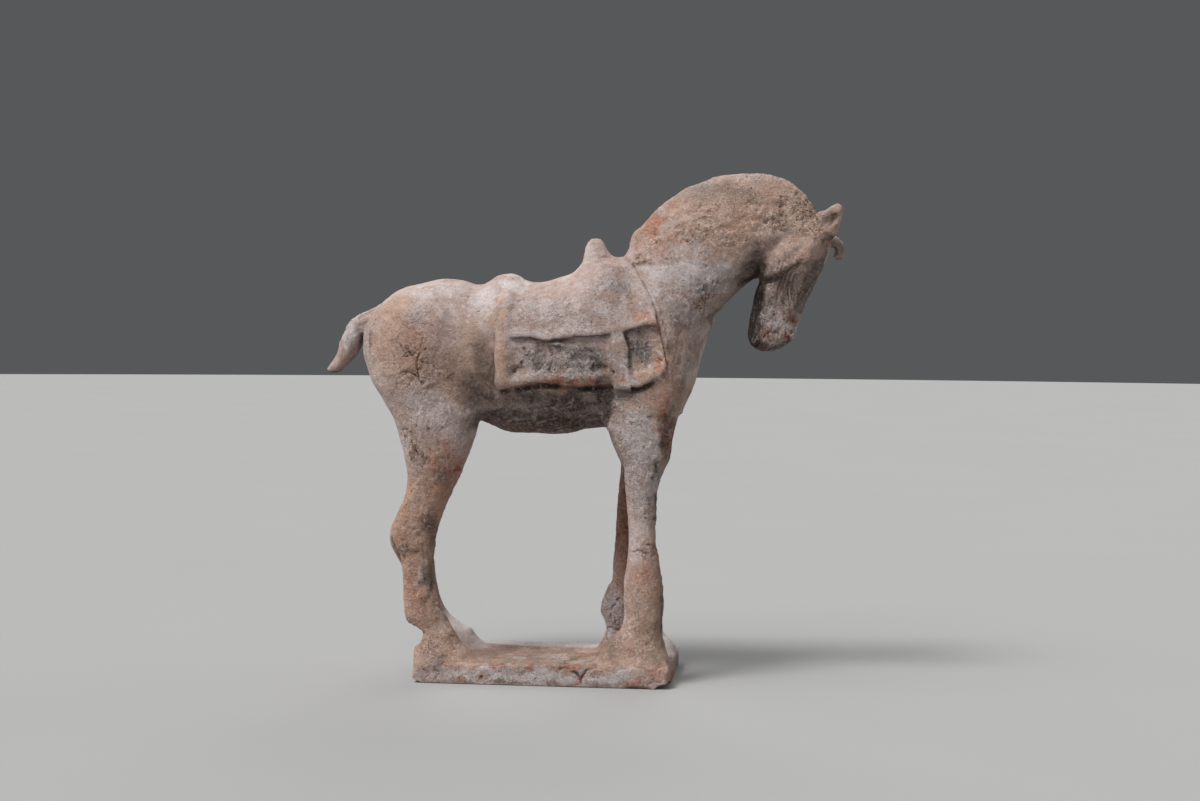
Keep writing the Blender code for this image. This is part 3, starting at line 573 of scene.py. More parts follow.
# ------------------------------------------------------------------ build the forms
def build_forms():
    for rows, k in ((TORSO, 0.0), (NECK, 8.0), (BRISKET, 6.0), (MANE, 7.0)):
        form = loft(rows, steps=9, count=128) if rows is TORSO else loft(rows)
        unite(*form_field(form), k)
    for rows in (HIND_NEAR, HIND_FAR, FORE_NEAR, FORE_FAR):
        unite(*form_field(loft(rows)), 6.5)
    add_saddle()
    unite(*form_field(loft(POMMEL)), 2.5)
    unite(*form_field(loft(TAIL)), 3.0)
    # head
    unite(*form_field(loft(HEAD)), 4.0)
    for side in (-1, 1):
        # the throat side of the jaw is drawn in, leaving a narrow keel
        carve(*tube(((124.0, 13.0 * side, 244.0, 4.6), (122.0, 12.4 * side, 237.0, 6.8), (120.8, 11.9 * side, 228.0, 7.6),
                     (119.6, 11.8 * side, 219.0, 7.2), (117.6, 12.4 * side, 211.0, 5.6), (116.0, 13.2 * side, 204.5, 3.6))), 1.6)
        unite(*ball((138.6, 9.0 * side, 249.6), (15.0, 7.4, 10.0), -34.0), 2.4)
        unite(*ball((154.6, 9.2 * side, 257.0), (7.4, 5.2, 3.8), -48.0), 3.2)
        unite(*ball((139.8, 7.2 * side, 205.4), (5.0, 4.4, 5.0), 0.0), 2.5)
    unite(*form_field(loft(EAR_NEAR, steps=4, count=28)), 2.6)
    unite(*tube(EAR_FAR), 2.4)
    head_carving()
    # feet: the near hind fetlock overhangs its foot; a broken lump of clay on the far fore fetlock
    carve(*ball((-80.0, -25.0, 25.4), (9.8, 19.0, 6.6), 6.0), 0.8)
    carve(*ball((-84.6, 25.0, 24.0), (6.0, 17.0, 2.8)), 1.5)
    unite(*ball((40.6, 15.6, 36.0), (6.6, 4.4, 10.6), 8.0), 1.4)
    # base: a slab whose top is dished between the feet
    slab, win = rounded_box((-BASE_LENGTH / 2, -BASE_WIDTH / 2, -12.0), (BASE_LENGTH / 2, BASE_WIDTH / 2, BASE_HEIGHT),
                            BASE_EDGE)
    x, y, z = axes(win)
    slab = smax(slab, -ellipsoid(x, y, z, (-2.0, 1.0, 14.8), (56.0, 36.0, 4.8)), 2.5)
    for place, radii, turn in (((76.0, -36.0, -0.8), (10.0, 15.0, 4.2), 0.0), ((57.0, -44.0, -0.6), (9.0, 2.6, 2.4), 0.0),
                               ((-77.0, -34.0, -0.6), (9.0, 16.0, 3.0), 0.0), ((76.5, -20.0, 11.0), (2.6, 9.0, 2.4), 0.0),
                               ((-77.0, -30.0, 15.0), (4.2, 30.0, 5.4), 0.0),
                               ((76.0, 30.0, 0.0), (3.0, 8.0, 2.6), 0.0), ((-10.0, 44.6, 0.0), (9.0, 2.6, 2.2), 0.0),
                               ((-76.0, 8.0, 12.0), (2.4, 7.0, 2.2), 0.0), ((30.0, 44.8, 12.4), (7.0, 2.2, 1.8), 0.0)):
        slab = smax(slab, -ellipsoid(x, y, z, place, radii, turn), 0.8)
    unite(slab, win, 3.5)
    unite(*ball((-54.8, 25.0, 20.2), (3.4, 5.0, 2.6), 20.0), 1.2)
    unite(*ball((63.8, 20.0, 11.0), (11.2, 9.0, 10.8)), 2.0)
    unite(*ball((36.4, 12.0, 18.0), (3.8, 4.0, 4.6), 20.0), 1.0)


def head_carving():
    for side in (-1, 1):
        # soft valley between the cheek and the neck
        carve(*tube(along(((126.0, 242.0, 2.2, 1.1), (127.2, 249.0, 2.2, 1.4), (131.0, 255.6, 2.2, 1.7),
                           (136.0, 259.6, 2.2, 1.9)), side)), 3.0)
        # hollow side of the face below the cheek
        y = side_y(143.0, 230.0, side)
        carve(*ball((141.0, y + 4.6 * side, 228.5), (8.4, 6.2, 12.5), 20.0), 3.5)
        # ridge along the lower edge of the cheek and up over the eye
        unite(*tube(along(((127.8, 240.4, 1.9, -1.1), (133.2, 241.2, 2.0, -0.9), (139.4, 245.0, 1.9, -0.8),
                           (145.0, 247.8, 1.8, -0.8), (150.0, 252.2, 1.8, -0.9), (154.0, 258.0, 1.7, -1.0)), side)), 2.6)
        # crease under the ridge, deepest at the throat
        carve(*tube(along(((124.0, 235.8, 1.7, 0.2), (128.0, 236.0, 1.2, 0.1), (133.2, 237.2, 0.85, 0.1),
                           (137.6, 239.8, 0.8, 0.1), (142.6, 243.0, 0.75, 0.2), (147.4, 245.9, 0.7, 0.3),
                           (151.4, 248.4, 0.6, 0.3)), side)), 0.6)
        # eye, a worn almond under the ridge
        y = side_y(151.4, 249.4, side)
        unite(*ball((151.0, y - 0.3 * side, 250.0), (3.8, 1.9, 2.5), -48.0), 0.7)
        # nostrils and the fold above them
        y = side_y(140.6, 203.2, side)
        carve(*ball((140.0, y + 0.7 * side, 202.6), (2.9, 2.0, 1.6), -32.0), 0.8)
        y = side_y(144.0, 206.8, side)
        carve(*ball((143.6, y + 0.9 * side, 206.6), (1.5, 1.4, 1.0), -50.0), 1.2)
        unite(*tube(along(((134.8, 210.4, 1.5, -0.7), (138.8, 209.6, 1.6, -0.8), (142.2, 211.0, 1.3, -0.8)), side)), 1.4)
        carve(*tube(along(((133.4, 206.6, 0.8, 0.5), (138.2, 205.8, 0.8, 0.5), (141.6, 206.8, 0.7, 0.6)), side)), 1.6)
    # the hollow of the near ear, a triangle behind its thick front rim
    y = side_y(164.6, 271.0, -1)
    carve(*ball((162.6, y - 0.9, 270.0), (7.8, 3.6, 3.6), -33.0), 1.6)
    carve(*ball((166.4, y - 0.9, 272.4), (3.6, 3.4, 2.3), -58.0), 0.9)
    carve(*ball((166.6, 10.0, 255.0), (2.9, 5.0, 3.1), 20.0), 0.8)


def surface_mesh():
    """The zero surface of the field: points (mm) and quads."""
    grid = vdb.FloatGrid(BAND)
    grid.transform = vdb.createLinearTransform(voxelSize=GRAIN)
    grid.copyFromArray(FIELD, ijk=tuple(int(v) for v in I_LOW))
    points, quads = grid.convertToQuads(isovalue=0.0)
    return points.astype(np.float64), quads.astype(np.int64)


# ------------------------------------------------------------------ noise
def scramble(ix, iy, iz, seed):
    """Hashed lattice value in [0, 1)."""
    h = (ix.astype(np.uint32) * np.uint32(374761393) + iy.astype(np.uint32) * np.uint32(668265263)
         + iz.astype(np.uint32) * np.uint32(2147483647) + np.uint32(seed * 974711 + 12345))
    h = (h ^ (h >> np.uint32(13))) * np.uint32(1274126177)
    h = (h ^ (h >> np.uint32(16))) * np.uint32(2246822519)
    h = h ^ (h >> np.uint32(13))
    return h.astype(np.float32) * np.float32(1.0 / 4294967296.0)


def value_noise(p, size, seed):
    """Smooth lattice noise, about -1 to 1; size is the wavelength in millimetres."""
    q = p / size + 1000.0
    i = np.floor(q).astype(np.int64)
    f = (q - i).astype(np.float32)
    w = f * f * f * (f * (f * 6 - 15) + 10)
    total = np.zeros(len(p), np.float32)
    for dx in (0, 1):
        wx = w[:, 0] if dx else 1 - w[:, 0]
        for dy in (0, 1):
            wy = wx * (w[:, 1] if dy else 1 - w[:, 1])
            for dz in (0, 1):
                wz = wy * (w[:, 2] if dz else 1 - w[:, 2])
                total += wz * scramble(i[:, 0] + dx, i[:, 1] + dy, i[:, 2] + dz, seed)
    return (total * 2 - 1) * 1.35


def fbm(p, size, octaves, seed, gain=0.5):
    out, amp, norm = np.zeros(len(p), np.float32), 1.0, 0.0
    for o in range(octaves):
        out += amp * value_noise(p + 17.3 * o, size / (2.03 ** o), seed + 31 * o)
        norm += amp
        amp *= gain
    return out / norm


def cells(p, size, seed):
    """Distance to the nearest scattered point, in cell sizes, that point's random number, and the gap to the next."""
    q = p / size + 500.0
    i = np.floor(q).astype(np.int64)
    f = (q - i).astype(np.float32)
    best = np.full(len(p), 9.0, np.float32)
    second = np.full(len(p), 9.0, np.float32)
    mark = np.zeros(len(p), np.float32)
    for dx in (-1, 0, 1):
        for dy in (-1, 0, 1):
            for dz in (-1, 0, 1):
                jx, jy, jz = i[:, 0] + dx, i[:, 1] + dy, i[:, 2] + dz
                ox = dx + scramble(jx, jy, jz, seed) - f[:, 0]
                oy = dy + scramble(jx, jy, jz, seed + 7) - f[:, 1]
                oz = dz + scramble(jx, jy, jz, seed + 13) - f[:, 2]
                d = ox * ox + oy * oy + oz * oz
                nearer = d < best
                second = np.minimum(second, np.where(nearer, best, d))
                best = np.where(nearer, d, best)
                mark = np.where(nearer, scramble(jx, jy, jz, seed + 19), mark)
    best = np.sqrt(best)
    return best, mark, np.sqrt(second) - best


def sample_field(p):
    """The distance field at points, trilinear."""
    q = p / GRAIN - I_LOW
    q = np.clip(q, 0.0, COUNT - 1.001)
    i = q.astype(np.int64)
    f = (q - i).astype(np.float32)
    total = np.zeros(len(p), np.float32)
    for dx in (0, 1):
        wx = f[:, 0] if dx else 1 - f[:, 0]
        for dy in (0, 1):
            wy = wx * (f[:, 1] if dy else 1 - f[:, 1])
            for dz in (0, 1):
                wz = wy * (f[:, 2] if dz else 1 - f[:, 2])
                total += wz * FIELD[i[:, 0] + dx, i[:, 1] + dy, i[:, 2] + dz]
    return total


def field_normals(p):
    n = np.zeros((len(p), 3), np.float32)
    for axis in range(3):
        d = np.zeros(3)
        d[axis] = GRAIN * 0.9
        n[:, axis] = sample_field(p + d) - sample_field(p - d)
    return n / (np.linalg.norm(n, axis=1)[:, None] + 1e-9)


# ------------------------------------------------------------------ patches and marks
# (side, x, z, radius_x, radius_z, turn in degrees, strength); side -1 near, 1 far, 0 both
def patch_mask(p, n, rows, seed, wander=2.2, size=7.0, soft=0.45):
    """Soft-edged patches on the sides of the horse, with wandering outlines."""
    out = np.zeros(len(p), np.float32)
    wx = value_noise(p, size, seed) * wander + value_noise(p, size * 0.4, seed + 3) * wander * 0.5
    wz = value_noise(p, size, seed + 11) * wander + value_noise(p, size * 0.4, seed + 15) * wander * 0.5
    for side, x, z, rx, rz, turn, strength in rows:
        reach = max(rx, rz) * 1.8 + wander * 2
        near = (np.abs(p[:, 0] - x) < reach) & (np.abs(p[:, 2] - z) < reach)
        if side:
            near &= p[:, 1] * side > -1.0
        idx = np.nonzero(near)[0]
        if not len(idx):
            continue
        co, si = math.cos(math.radians(turn)), math.sin(math.radians(turn))
        dx, dz = p[idx, 0] + wx[idx] - x, p[idx, 2] + wz[idx] - z
        u, w = (co * dx + si * dz) / rx, (-si * dx + co * dz) / rz
        r = np.sqrt(u * u + w * w)
        m = (1.0 - step(r, 1.0 - soft, 1.0 + soft)) * strength
        out[idx] = np.maximum(out[idx], m)
    return out


def mark_depth(p, rows, wobble=1.0, broken=1.0):
    """Cut or cracked lines: (side, half width, depth, darkness, points).  Returns the depth and the darkness."""
    depth_out = np.zeros(len(p), np.float32)
    dark_out = np.zeros(len(p), np.float32)
    for side, half, depth, dark, points in rows:
        xs, zs = [q[0] for q in points], [q[1] for q in points]
        near = ((p[:, 0] > min(xs) - 3) & (p[:, 0] < max(xs) + 3)
                & (p[:, 2] > min(zs) - 3) & (p[:, 2] < max(zs) + 3) & (p[:, 1] * side > 2.0))
        idx = np.nonzero(near)[0]
        if not len(idx):
            continue
        q = p[idx]
        shift_x = wobble * (0.7 * value_noise(q, 4.0, 401) + 0.35 * value_noise(q, 1.6, 403))
        shift_z = wobble * (0.7 * value_noise(q, 4.0, 405) + 0.35 * value_noise(q, 1.6, 407))
        d = line_distance(q[:, 0] + shift_x, q[:, 2] + shift_z, points)
        width = half * (1.0 + 0.45 * value_noise(q, 3.0, 409))
        profile = (1.0 - step(d, width * 0.15, width * 1.25)) * (1.0 - broken * (1.0 - step(value_noise(q, 3.4, 411), -0.75, 0.05)))
        depth_out[idx] = np.maximum(depth_out[idx], depth * profile)
        dark_out[idx] = np.maximum(dark_out[idx], dark * profile)
    return depth_out, dark_out


# where things are, in side view
ORANGE = (      # burnt clay showing through
    (-1, 23.6, 9.6, 3.8, 2.4, 0, 1.25), (-1, 24.2, 4.6, 1.5, 4.6, 0, 1.25), (-1, 54, 2.6, 9, 2.0, 0, 0.9),
    (-1, 60, 66, 9, 7, 0, 0.7), (-1, -86, 82, 4, 10, 0, 0.65), (-1, -76, 54, 5, 12, 0, 0.6), (-1, -84, 170, 5, 8, 0, 0.4), (-1, 62, 168, 5, 5, 0, 0.5),
    (-1, 124.5, 204.4, 2.8, 3.4, 0, 2.0), (-1, 131.6, 204.6, 2.2, 3.0, 0, 1.9), (-1, 138.0, 203.8, 2.8, 2.2, 0, 1.8), (-1, 68.8, 187, 1.8, 4, 0, 1.5),
    (-1, 72.5, 150, 2.6, 13, 0, 1.6), (-1, 142.5, 213.4, 3.2, 2.2, 20, 1.3), (-1, -52, 125, 3.5, 8, -22, 1.3),
    (-1, -58, 132, 9, 12, -20, 0.75), (-1, -82, 96, 6, 16, -10, 0.55), (-1, 64, 62, 6, 14, 0, 0.5), (-1, 50, 60, 5, 16, 0, 0.45),
    (-1, -76, 60, 6, 12, 0, 0.5), (-1, 145, 262, 6, 3, 40, 0.5), (-1, 157, 264, 4, 5, 0, 0.5), (-1, -8, 176, 18, 3, 0, 0.75),
    (-1, 71, 150, 4.5, 24, 0, 0.9), (-1, 73, 258, 15, 6, 40, 0.6), (-1, 137, 206, 4, 5, 0, 0.55), (-1, 153, 257, 3, 2, 40, 0.5),
    (-1, -24, 186, 3.6, 20, 0, 0.45), (-1, 71.5, 145, 4, 20, 0, 0.85), (-1, -60, 123, 12, 13, -20, 0.8), (-1, 62, 211, 6, 4, 20, 0.7),
    (-1, -78, 112, 8, 14, 0, 0.35), (-1, -56, 15, 14, 4, -20, 0.45),
    (-1, -66, 205, 14, 6, 5, 0.5), (-1, -74, 190, 12, 16, 10, 0.5), (-1, 12, 176.5, 36, 3.2, 0, 0.7), (-1, -25, 196, 2.2, 26, 0, 0.4),
    (-1, -66, 118, 10, 20, -15, 0.45), (-1, -84, 110, 5, 24, 0, 0.4), (-1, 168, 253.6, 3, 2.4, 0, 0.8), (-1, 141, 214, 5, 2.6, -20, 0.6),
    (-1, 134, 206, 2.4, 2.6, 0, 0.5), (-1, 76, 3.5, 4, 4.5, 0, 1.0), (-1, -55, 6, 9, 4, 0, 0.5),
    (-1, -69.9, 207.4, 7.6, 4.1, 5, 0.6), (-1, -64.7, 210.4, 4.1, 2.3, 0, 0.6),
    (-1, -60.1, 199.3, 8.8, 3.5, -10, 0.35), (-1, -86.3, 204.9, 4.7, 11.7, 0, 0.25),
    (-1, -89.8, 219.1, 5.3, 5.8, 0, 0.25), (-1, -59.3, 139.6, 5.3, 4.7, 0, 0.8),
    (-1, -51.1, 126.8, 4.7, 8.2, -22, 0.95), (-1, -65.3, 119.5, 2.9, 7.6, 0, 0.55),
    (-1, -80.1, 117.8, 2.3, 11.7, 0, 0.65), (-1, -69.7, 106.4, 6.4, 4.7, -30, 0.65),
    (-1, -61.2, 111.1, 3.5, 6.4, -20, 0.65), (-1, -88.4, 82, 2.3, 7, 0, 0.65), (-1, -82.6, 99, 4.7, 6.4, -20, 0.5),
    (-1, -77.5, 57.1, 3.5, 6.4, 0, 0.75), (-1, -74.8, 40.1, 5.3, 4.7, 0, 0.4), (-1, -73.5, 45.4, 2.9, 11.7, 0, 0.35),
    (-1, -84, 158, 3.5, 11.7, 15, 0.4), (-1, 72.2, 137.6, 2.9, 12.9, 0, 0.9), (-1, 69.4, 159.9, 3.5, 10.5, 5, 0.85),
    (-1, 79.3, 173.7, 2.3, 6.4, -20, 0.75), (-1, 65.4, 105.4, 2.3, 8.2, 0, 0.5), (-1, 56.9, 69.1, 6.4, 4.7, 0, 0.6),
    (-1, 64.6, 58.2, 3.5, 8.8, 0, 0.4), (-1, 68.8, 81.7, 1.8, 11.7, 0, 0.5), (-1, 66.5, 37.8, 2.9, 11.7, 0, 0.35),
    (-1, 52.3, 96.7, 2.9, 9.4, 0, 0.3), (-1, -24.7, 219.4, 2, 11.7, 2, 0.6), (-1, 13.2, 176.4, 34, 1.4, 0, 1.15),
    (-1, -21.9, 175.2, 5.8, 2.3, 0, 0.6), (-1, 56.6, 217.6, 5.8, 4.1, 0, 0.75), (-1, 48.7, 215.2, 2.9, 2.9, 0, 0.5),
    (-1, 49.1, 184.6, 2.3, 2.3, 0, 0.7), (-1, 49.6, 177, 2.9, 2.3, 0, 0.9), (-1, 67.8, 188.7, 1.8, 4.1, 0, 0.8),
    (-1, 54.7, 181.7, 1.8, 2.3, 0, 0.6), (-1, 4.8, 187.1, 1.5, 8.2, 0, 0.7), (-1, 8.7, 226.7, 11.7, 2.3, 0, 0.3),
    (-1, 62.6, 271.3, 11.7, 4.1, 41, 0.95), (-1, 69, 278.3, 5.3, 2.9, 41, 0.6), (-1, 100.8, 290.6, 1.5, 2.9, 0, 0.5),
    (-1, 51.4, 256.5, 1.8, 6.4, 0, 0.6), (-1, 116, 268.4, 6.4, 1.8, -8, 0.55), (-1, 113.6, 273.7, 2.9, 2.3, 0, 0.4),
    (-1, 102.9, 251.4, 2.3, 2.3, 0, 0.5), (-1, 156.8, 256.8, 1.8, 1.8, 0, 0.5),
    (-1, 143.3, 212.7, 2.9, 1.8, 20, 0.75), (-1, 140.8, 233.6, 3.5, 5.3, -20, 0.4),
    (-1, 166.5, 264, 1.8, 2.9, 0, 0.6), (-1, 11.3, 148.5, 8, 3.2, 0, 0.9), (-1, -14, 148.7, 16, 3.0, -4, 0.85),
    (-1, -45.3, 4.2, 4.7, 2.9, 0, 0.8), (-1, -17.1, 9.6, 1.8, 4.1, 0, 0.6), (-1, 3.2, 11.6, 56, 1.5, 0, 0.95),
    (-1, 67.5, 10.3, 7.6, 5.8, 0, 0.75), (-1, 61.8, 3.8, 4.7, 2.9, 0, 0.6), (-1, 75, 4.3, 3.5, 6.4, 0, 0.8),
    (-1, 0.9, 0.7, 76, 0.9, 0, 0.8), (-1, 89.8, 221.5, 2.3, 2.9, 0, 0.8), (1, -40, 205, 12, 7, 10, 0.5),
    (1, 20, 176, 30, 2.2, 0, 0.7), (1, 100, 262, 12, 5, 10, 0.5), (1, 43, 92, 8, 30, 0, 0.85),
    (1, 47, 62, 9, 14, 0, 0.6), (1, 48, 126, 6, 16, 0, 0.8), (1, 52, 140, 9, 12, 0, 0.5), (1, -84, 60, 8, 12, 0, 0.5),
    (1, -72, 130, 10, 10, 0, 0.6), (1, -70, 190, 9, 12, 0, 0.45), (1, 60, 205, 8, 8, 0, 0.5),
    (1, 137, 225, 6, 8, 0, 0.4), (1, 30, 6, 20, 3, 0, 0.5), (1, -50, 7, 12, 4, 0, 0.6),
    (1, 166.5, 253.5, 3.2, 3, 0, 0.9), (0, -76, 8, 3, 5, 0, 0.5), (0, 75, 5, 2, 6, 0, 0.7),
)
GREY = (      # soot and grey soil
    (-1, 33, 190, 6, 7, 0, 0.9), (-1, -8, 190, 6, 6, 0, 0.8), (-1, 16, 192, 4, 6, 0, 0.8), (-1, 57, 199, 5, 6, 0, 0.9),
    (-1, 100, 290, 34, 5, -6, 0.5),
    (-1, 98, 288, 34, 7, -6, 0.42), (-1, 10, 210, 30, 7, 0, 0.3), (-1, 122, 262, 20, 8, -20, 0.35), (-1, 118, 244, 8, 6, 20, 0.5),
    (-1, -57.2, 212.2, 7, 4.1, 0, 0.6), (-1, -40.8, 180.2, 12.9, 11.7, 0, 0.5), (-1, -69.3, 134.8, 1.8, 3.5, 0, 0.4),
    (-1, -56, 132.5, 2.9, 3.5, 0, 0.65), (-1, -60.1, 121.9, 2.9, 7.6, -20, 0.75), (-1, -69.3, 96.3, 2.9, 2.9, 0, 0.5),
    (-1, -68.9, 55.9, 2.3, 6.4, 0, 0.75), (-1, -60.4, 11.2, 3.5, 6.4, 0, 0.65), (-1, -37.4, 201.8, 4.1, 8.2, 0, 0.35),
    (-1, 42.5, 232.7, 6.4, 7.6, 0, 0.65), (-1, 12.9, 220.2, 2.3, 1.8, 0, 0.5), (-1, 28.7, 190.2, 13.5, 8.0, 0, 0.95),
    (-1, -5.2, 193.0, 10.5, 8.0, 0, 0.7), (-1, -15.7, 183.4, 2.9, 2.3, 0, 0.9), (-1, 1.3, 185.9, 2.3, 2.9, 0, 0.9),
    (-1, 56.3, 195.6, 8.2, 9.9, 0, 0.9), (-1, 18.2, 166.1, 35.1, 8.2, 0, 0.5), (-1, 4.6, 160.7, 2.9, 2.3, 0, 0.8),
    (-1, 56.6, 169.6, 3.5, 3.5, 0, 0.6), (-1, 65, 124.4, 2.9, 6.4, 0, 0.75), (-1, 62.8, 107.4, 2.9, 5.3, 0, 0.7),
    (-1, 55.5, 48.3, 3.5, 4.1, 0, 0.5), (-1, 112.8, 245.7, 16.4, 5.8, 20, 0.4), (-1, 123.2, 249.8, 4.7, 5.8, 0, 0.65),
    (-1, 96.6, 225.2, 8.8, 10.5, 0, 0.2), (-1, 107.9, 290, 18.7, 4.7, 0, 0.45), (-1, 146.1, 275.3, 2.9, 3.5, 0, 0.6),
    (-1, 88.8, 281, 7, 4.7, 0, 0.35), (-1, 71.3, 269.8, 3.5, 4.7, 40, 0.5), (-1, 146, 237.1, 5.8, 5.8, 0, 0.4),
    (-1, 139.1, 230.1, 3.5, 9.4, 10, 0.3), (-1, 56.8, 155.1, 7, 5.8, 0, 0.35), (-1, 71.8, 207.3, 5.8, 9.4, 0, 0.4),
    (-1, 84.2, 207.5, 4.7, 11.7, 20, 0.35), (1, 10, 190, 32, 10, 0, 0.8), (1, 118, 246, 14, 9, 20, 0.6),
    (1, 0, 160, 40, 9, 0, 0.6), (1, -60, 175, 22, 14, 0, 0.4), (1, 86, 216, 9, 20, 20, 0.4),
    (1, 55, 193, 7, 10, 0, 0.7), (1, -66, 108, 5, 9, -20, 0.6), (1, 62, 120, 4, 9, 0, 0.6),
    (1, -58, 130, 4, 8, 0, 0.5), (1, 139, 230, 5, 10, 0, 0.3),
)
CRUST = (      # brown earth that has set hard
    (-1, 62, 258, 6, 4, 20, 0.8), (-1, 72, 250, 5, 3, 0, 0.6), (-1, 84, 266, 7, 5, 10, 0.8), (-1, 120, 288, 8, 4, -20, 0.5), (-1, 132, 272, 7, 8, -30, 0.75),
    (-1, 112, 280, 6, 5, 0, 0.5), (-1, 157, 266, 5, 6, -20, 0.9), (-1, 134.5, 243, 6, 3.5, 25, 0.5), (-1, -66, 76, 3, 6, 0, 0.4),
    (-1, 164, 269.5, 7, 4, 33, 0.5), (-1, 138, 246, 11, 6, 25, 0.3), (-1, 148, 262, 10, 7, -30, 0.25),
    (-1, 150.7, 276, 7.6, 11.7, -20, 1), (-1, 138.4, 284.1, 4.1, 3.5, 0, 0.9), (-1, 160.2, 262.8, 5.3, 4.7, 0, 0.8),
    (-1, 144.5, 265.1, 5.3, 2.9, 0, 0.5), (-1, 55.3, 247.2, 6.4, 2.9, 0, 1), (-1, 92.1, 227.4, 4.1, 8.2, -12, 1),
    (-1, 90.4, 221, 1.8, 2.3, 0, 1), (-1, 78.8, 262.5, 2.9, 2.9, 0, 0.85), (-1, 91.1, 262.5, 5.8, 5.3, 0, 0.75),
    (-1, 106.3, 260.2, 5.3, 5.3, 0, 0.7), (-1, 97, 281.5, 2.9, 2.9, 0, 0.65), (-1, 115.6, 261.4, 4.7, 2.3, 0, 0.4),
    (-1, 83.8, 247.1, 7, 2.3, 0, 0.3), (-1, -80.4, 145.1, 3.5, 3.2, 0, 1), (-1, -74.1, 134.1, 3.5, 7.6, 25, 1),
    (-1, -82.4, 77.7, 4.1, 5.8, 0, 0.95), (-1, -69.9, 96.3, 2.9, 2.9, 0, 0.7), (-1, -77.5, 64.8, 2.3, 2.9, 0, 0.75),
    (-1, -65.6, 22, 2.9, 3.5, 0, 0.8), (-1, -70.3, 3.4, 4.7, 2.3, 0, 0.8), (-1, 61.9, 80.1, 4.1, 4.1, 0, 0.7),
    (-1, 47.7, 24.5, 8.2, 2.9, 0, 0.4), (-1, 64, 22, 3.5, 2.9, 0, 0.3), (-1, -67.5, 181.7, 11.7, 12.9, 0, 0.45),
    (-1, 127.3, 244.1, 2.3, 5.8, 0, 0.8), (-1, 32.8, 224.4, 9.4, 4.7, 0, 0.3), (1, 36.5, 40, 4, 9, 8, 0.75),
    (1, 33.5, 20, 3.5, 5, 0, 1), (1, 120, 276, 18, 9, 0, 0.8), (1, 58, 246, 9, 5, 0, 0.8),
    (1, -78, 140, 5, 9, 20, 0.9), (1, -90, 78, 7, 7, 0, 0.8), (1, 90, 232, 6, 10, 0, 0.8),
    (1, 150, 274, 8, 10, -20, 0.9), (1, -60, 186, 16, 12, 0, 0.4), (0, -104, 206, 4, 6, 0, 0.5),
    (1, -66, 22, 5, 5, 0, 0.6),
)
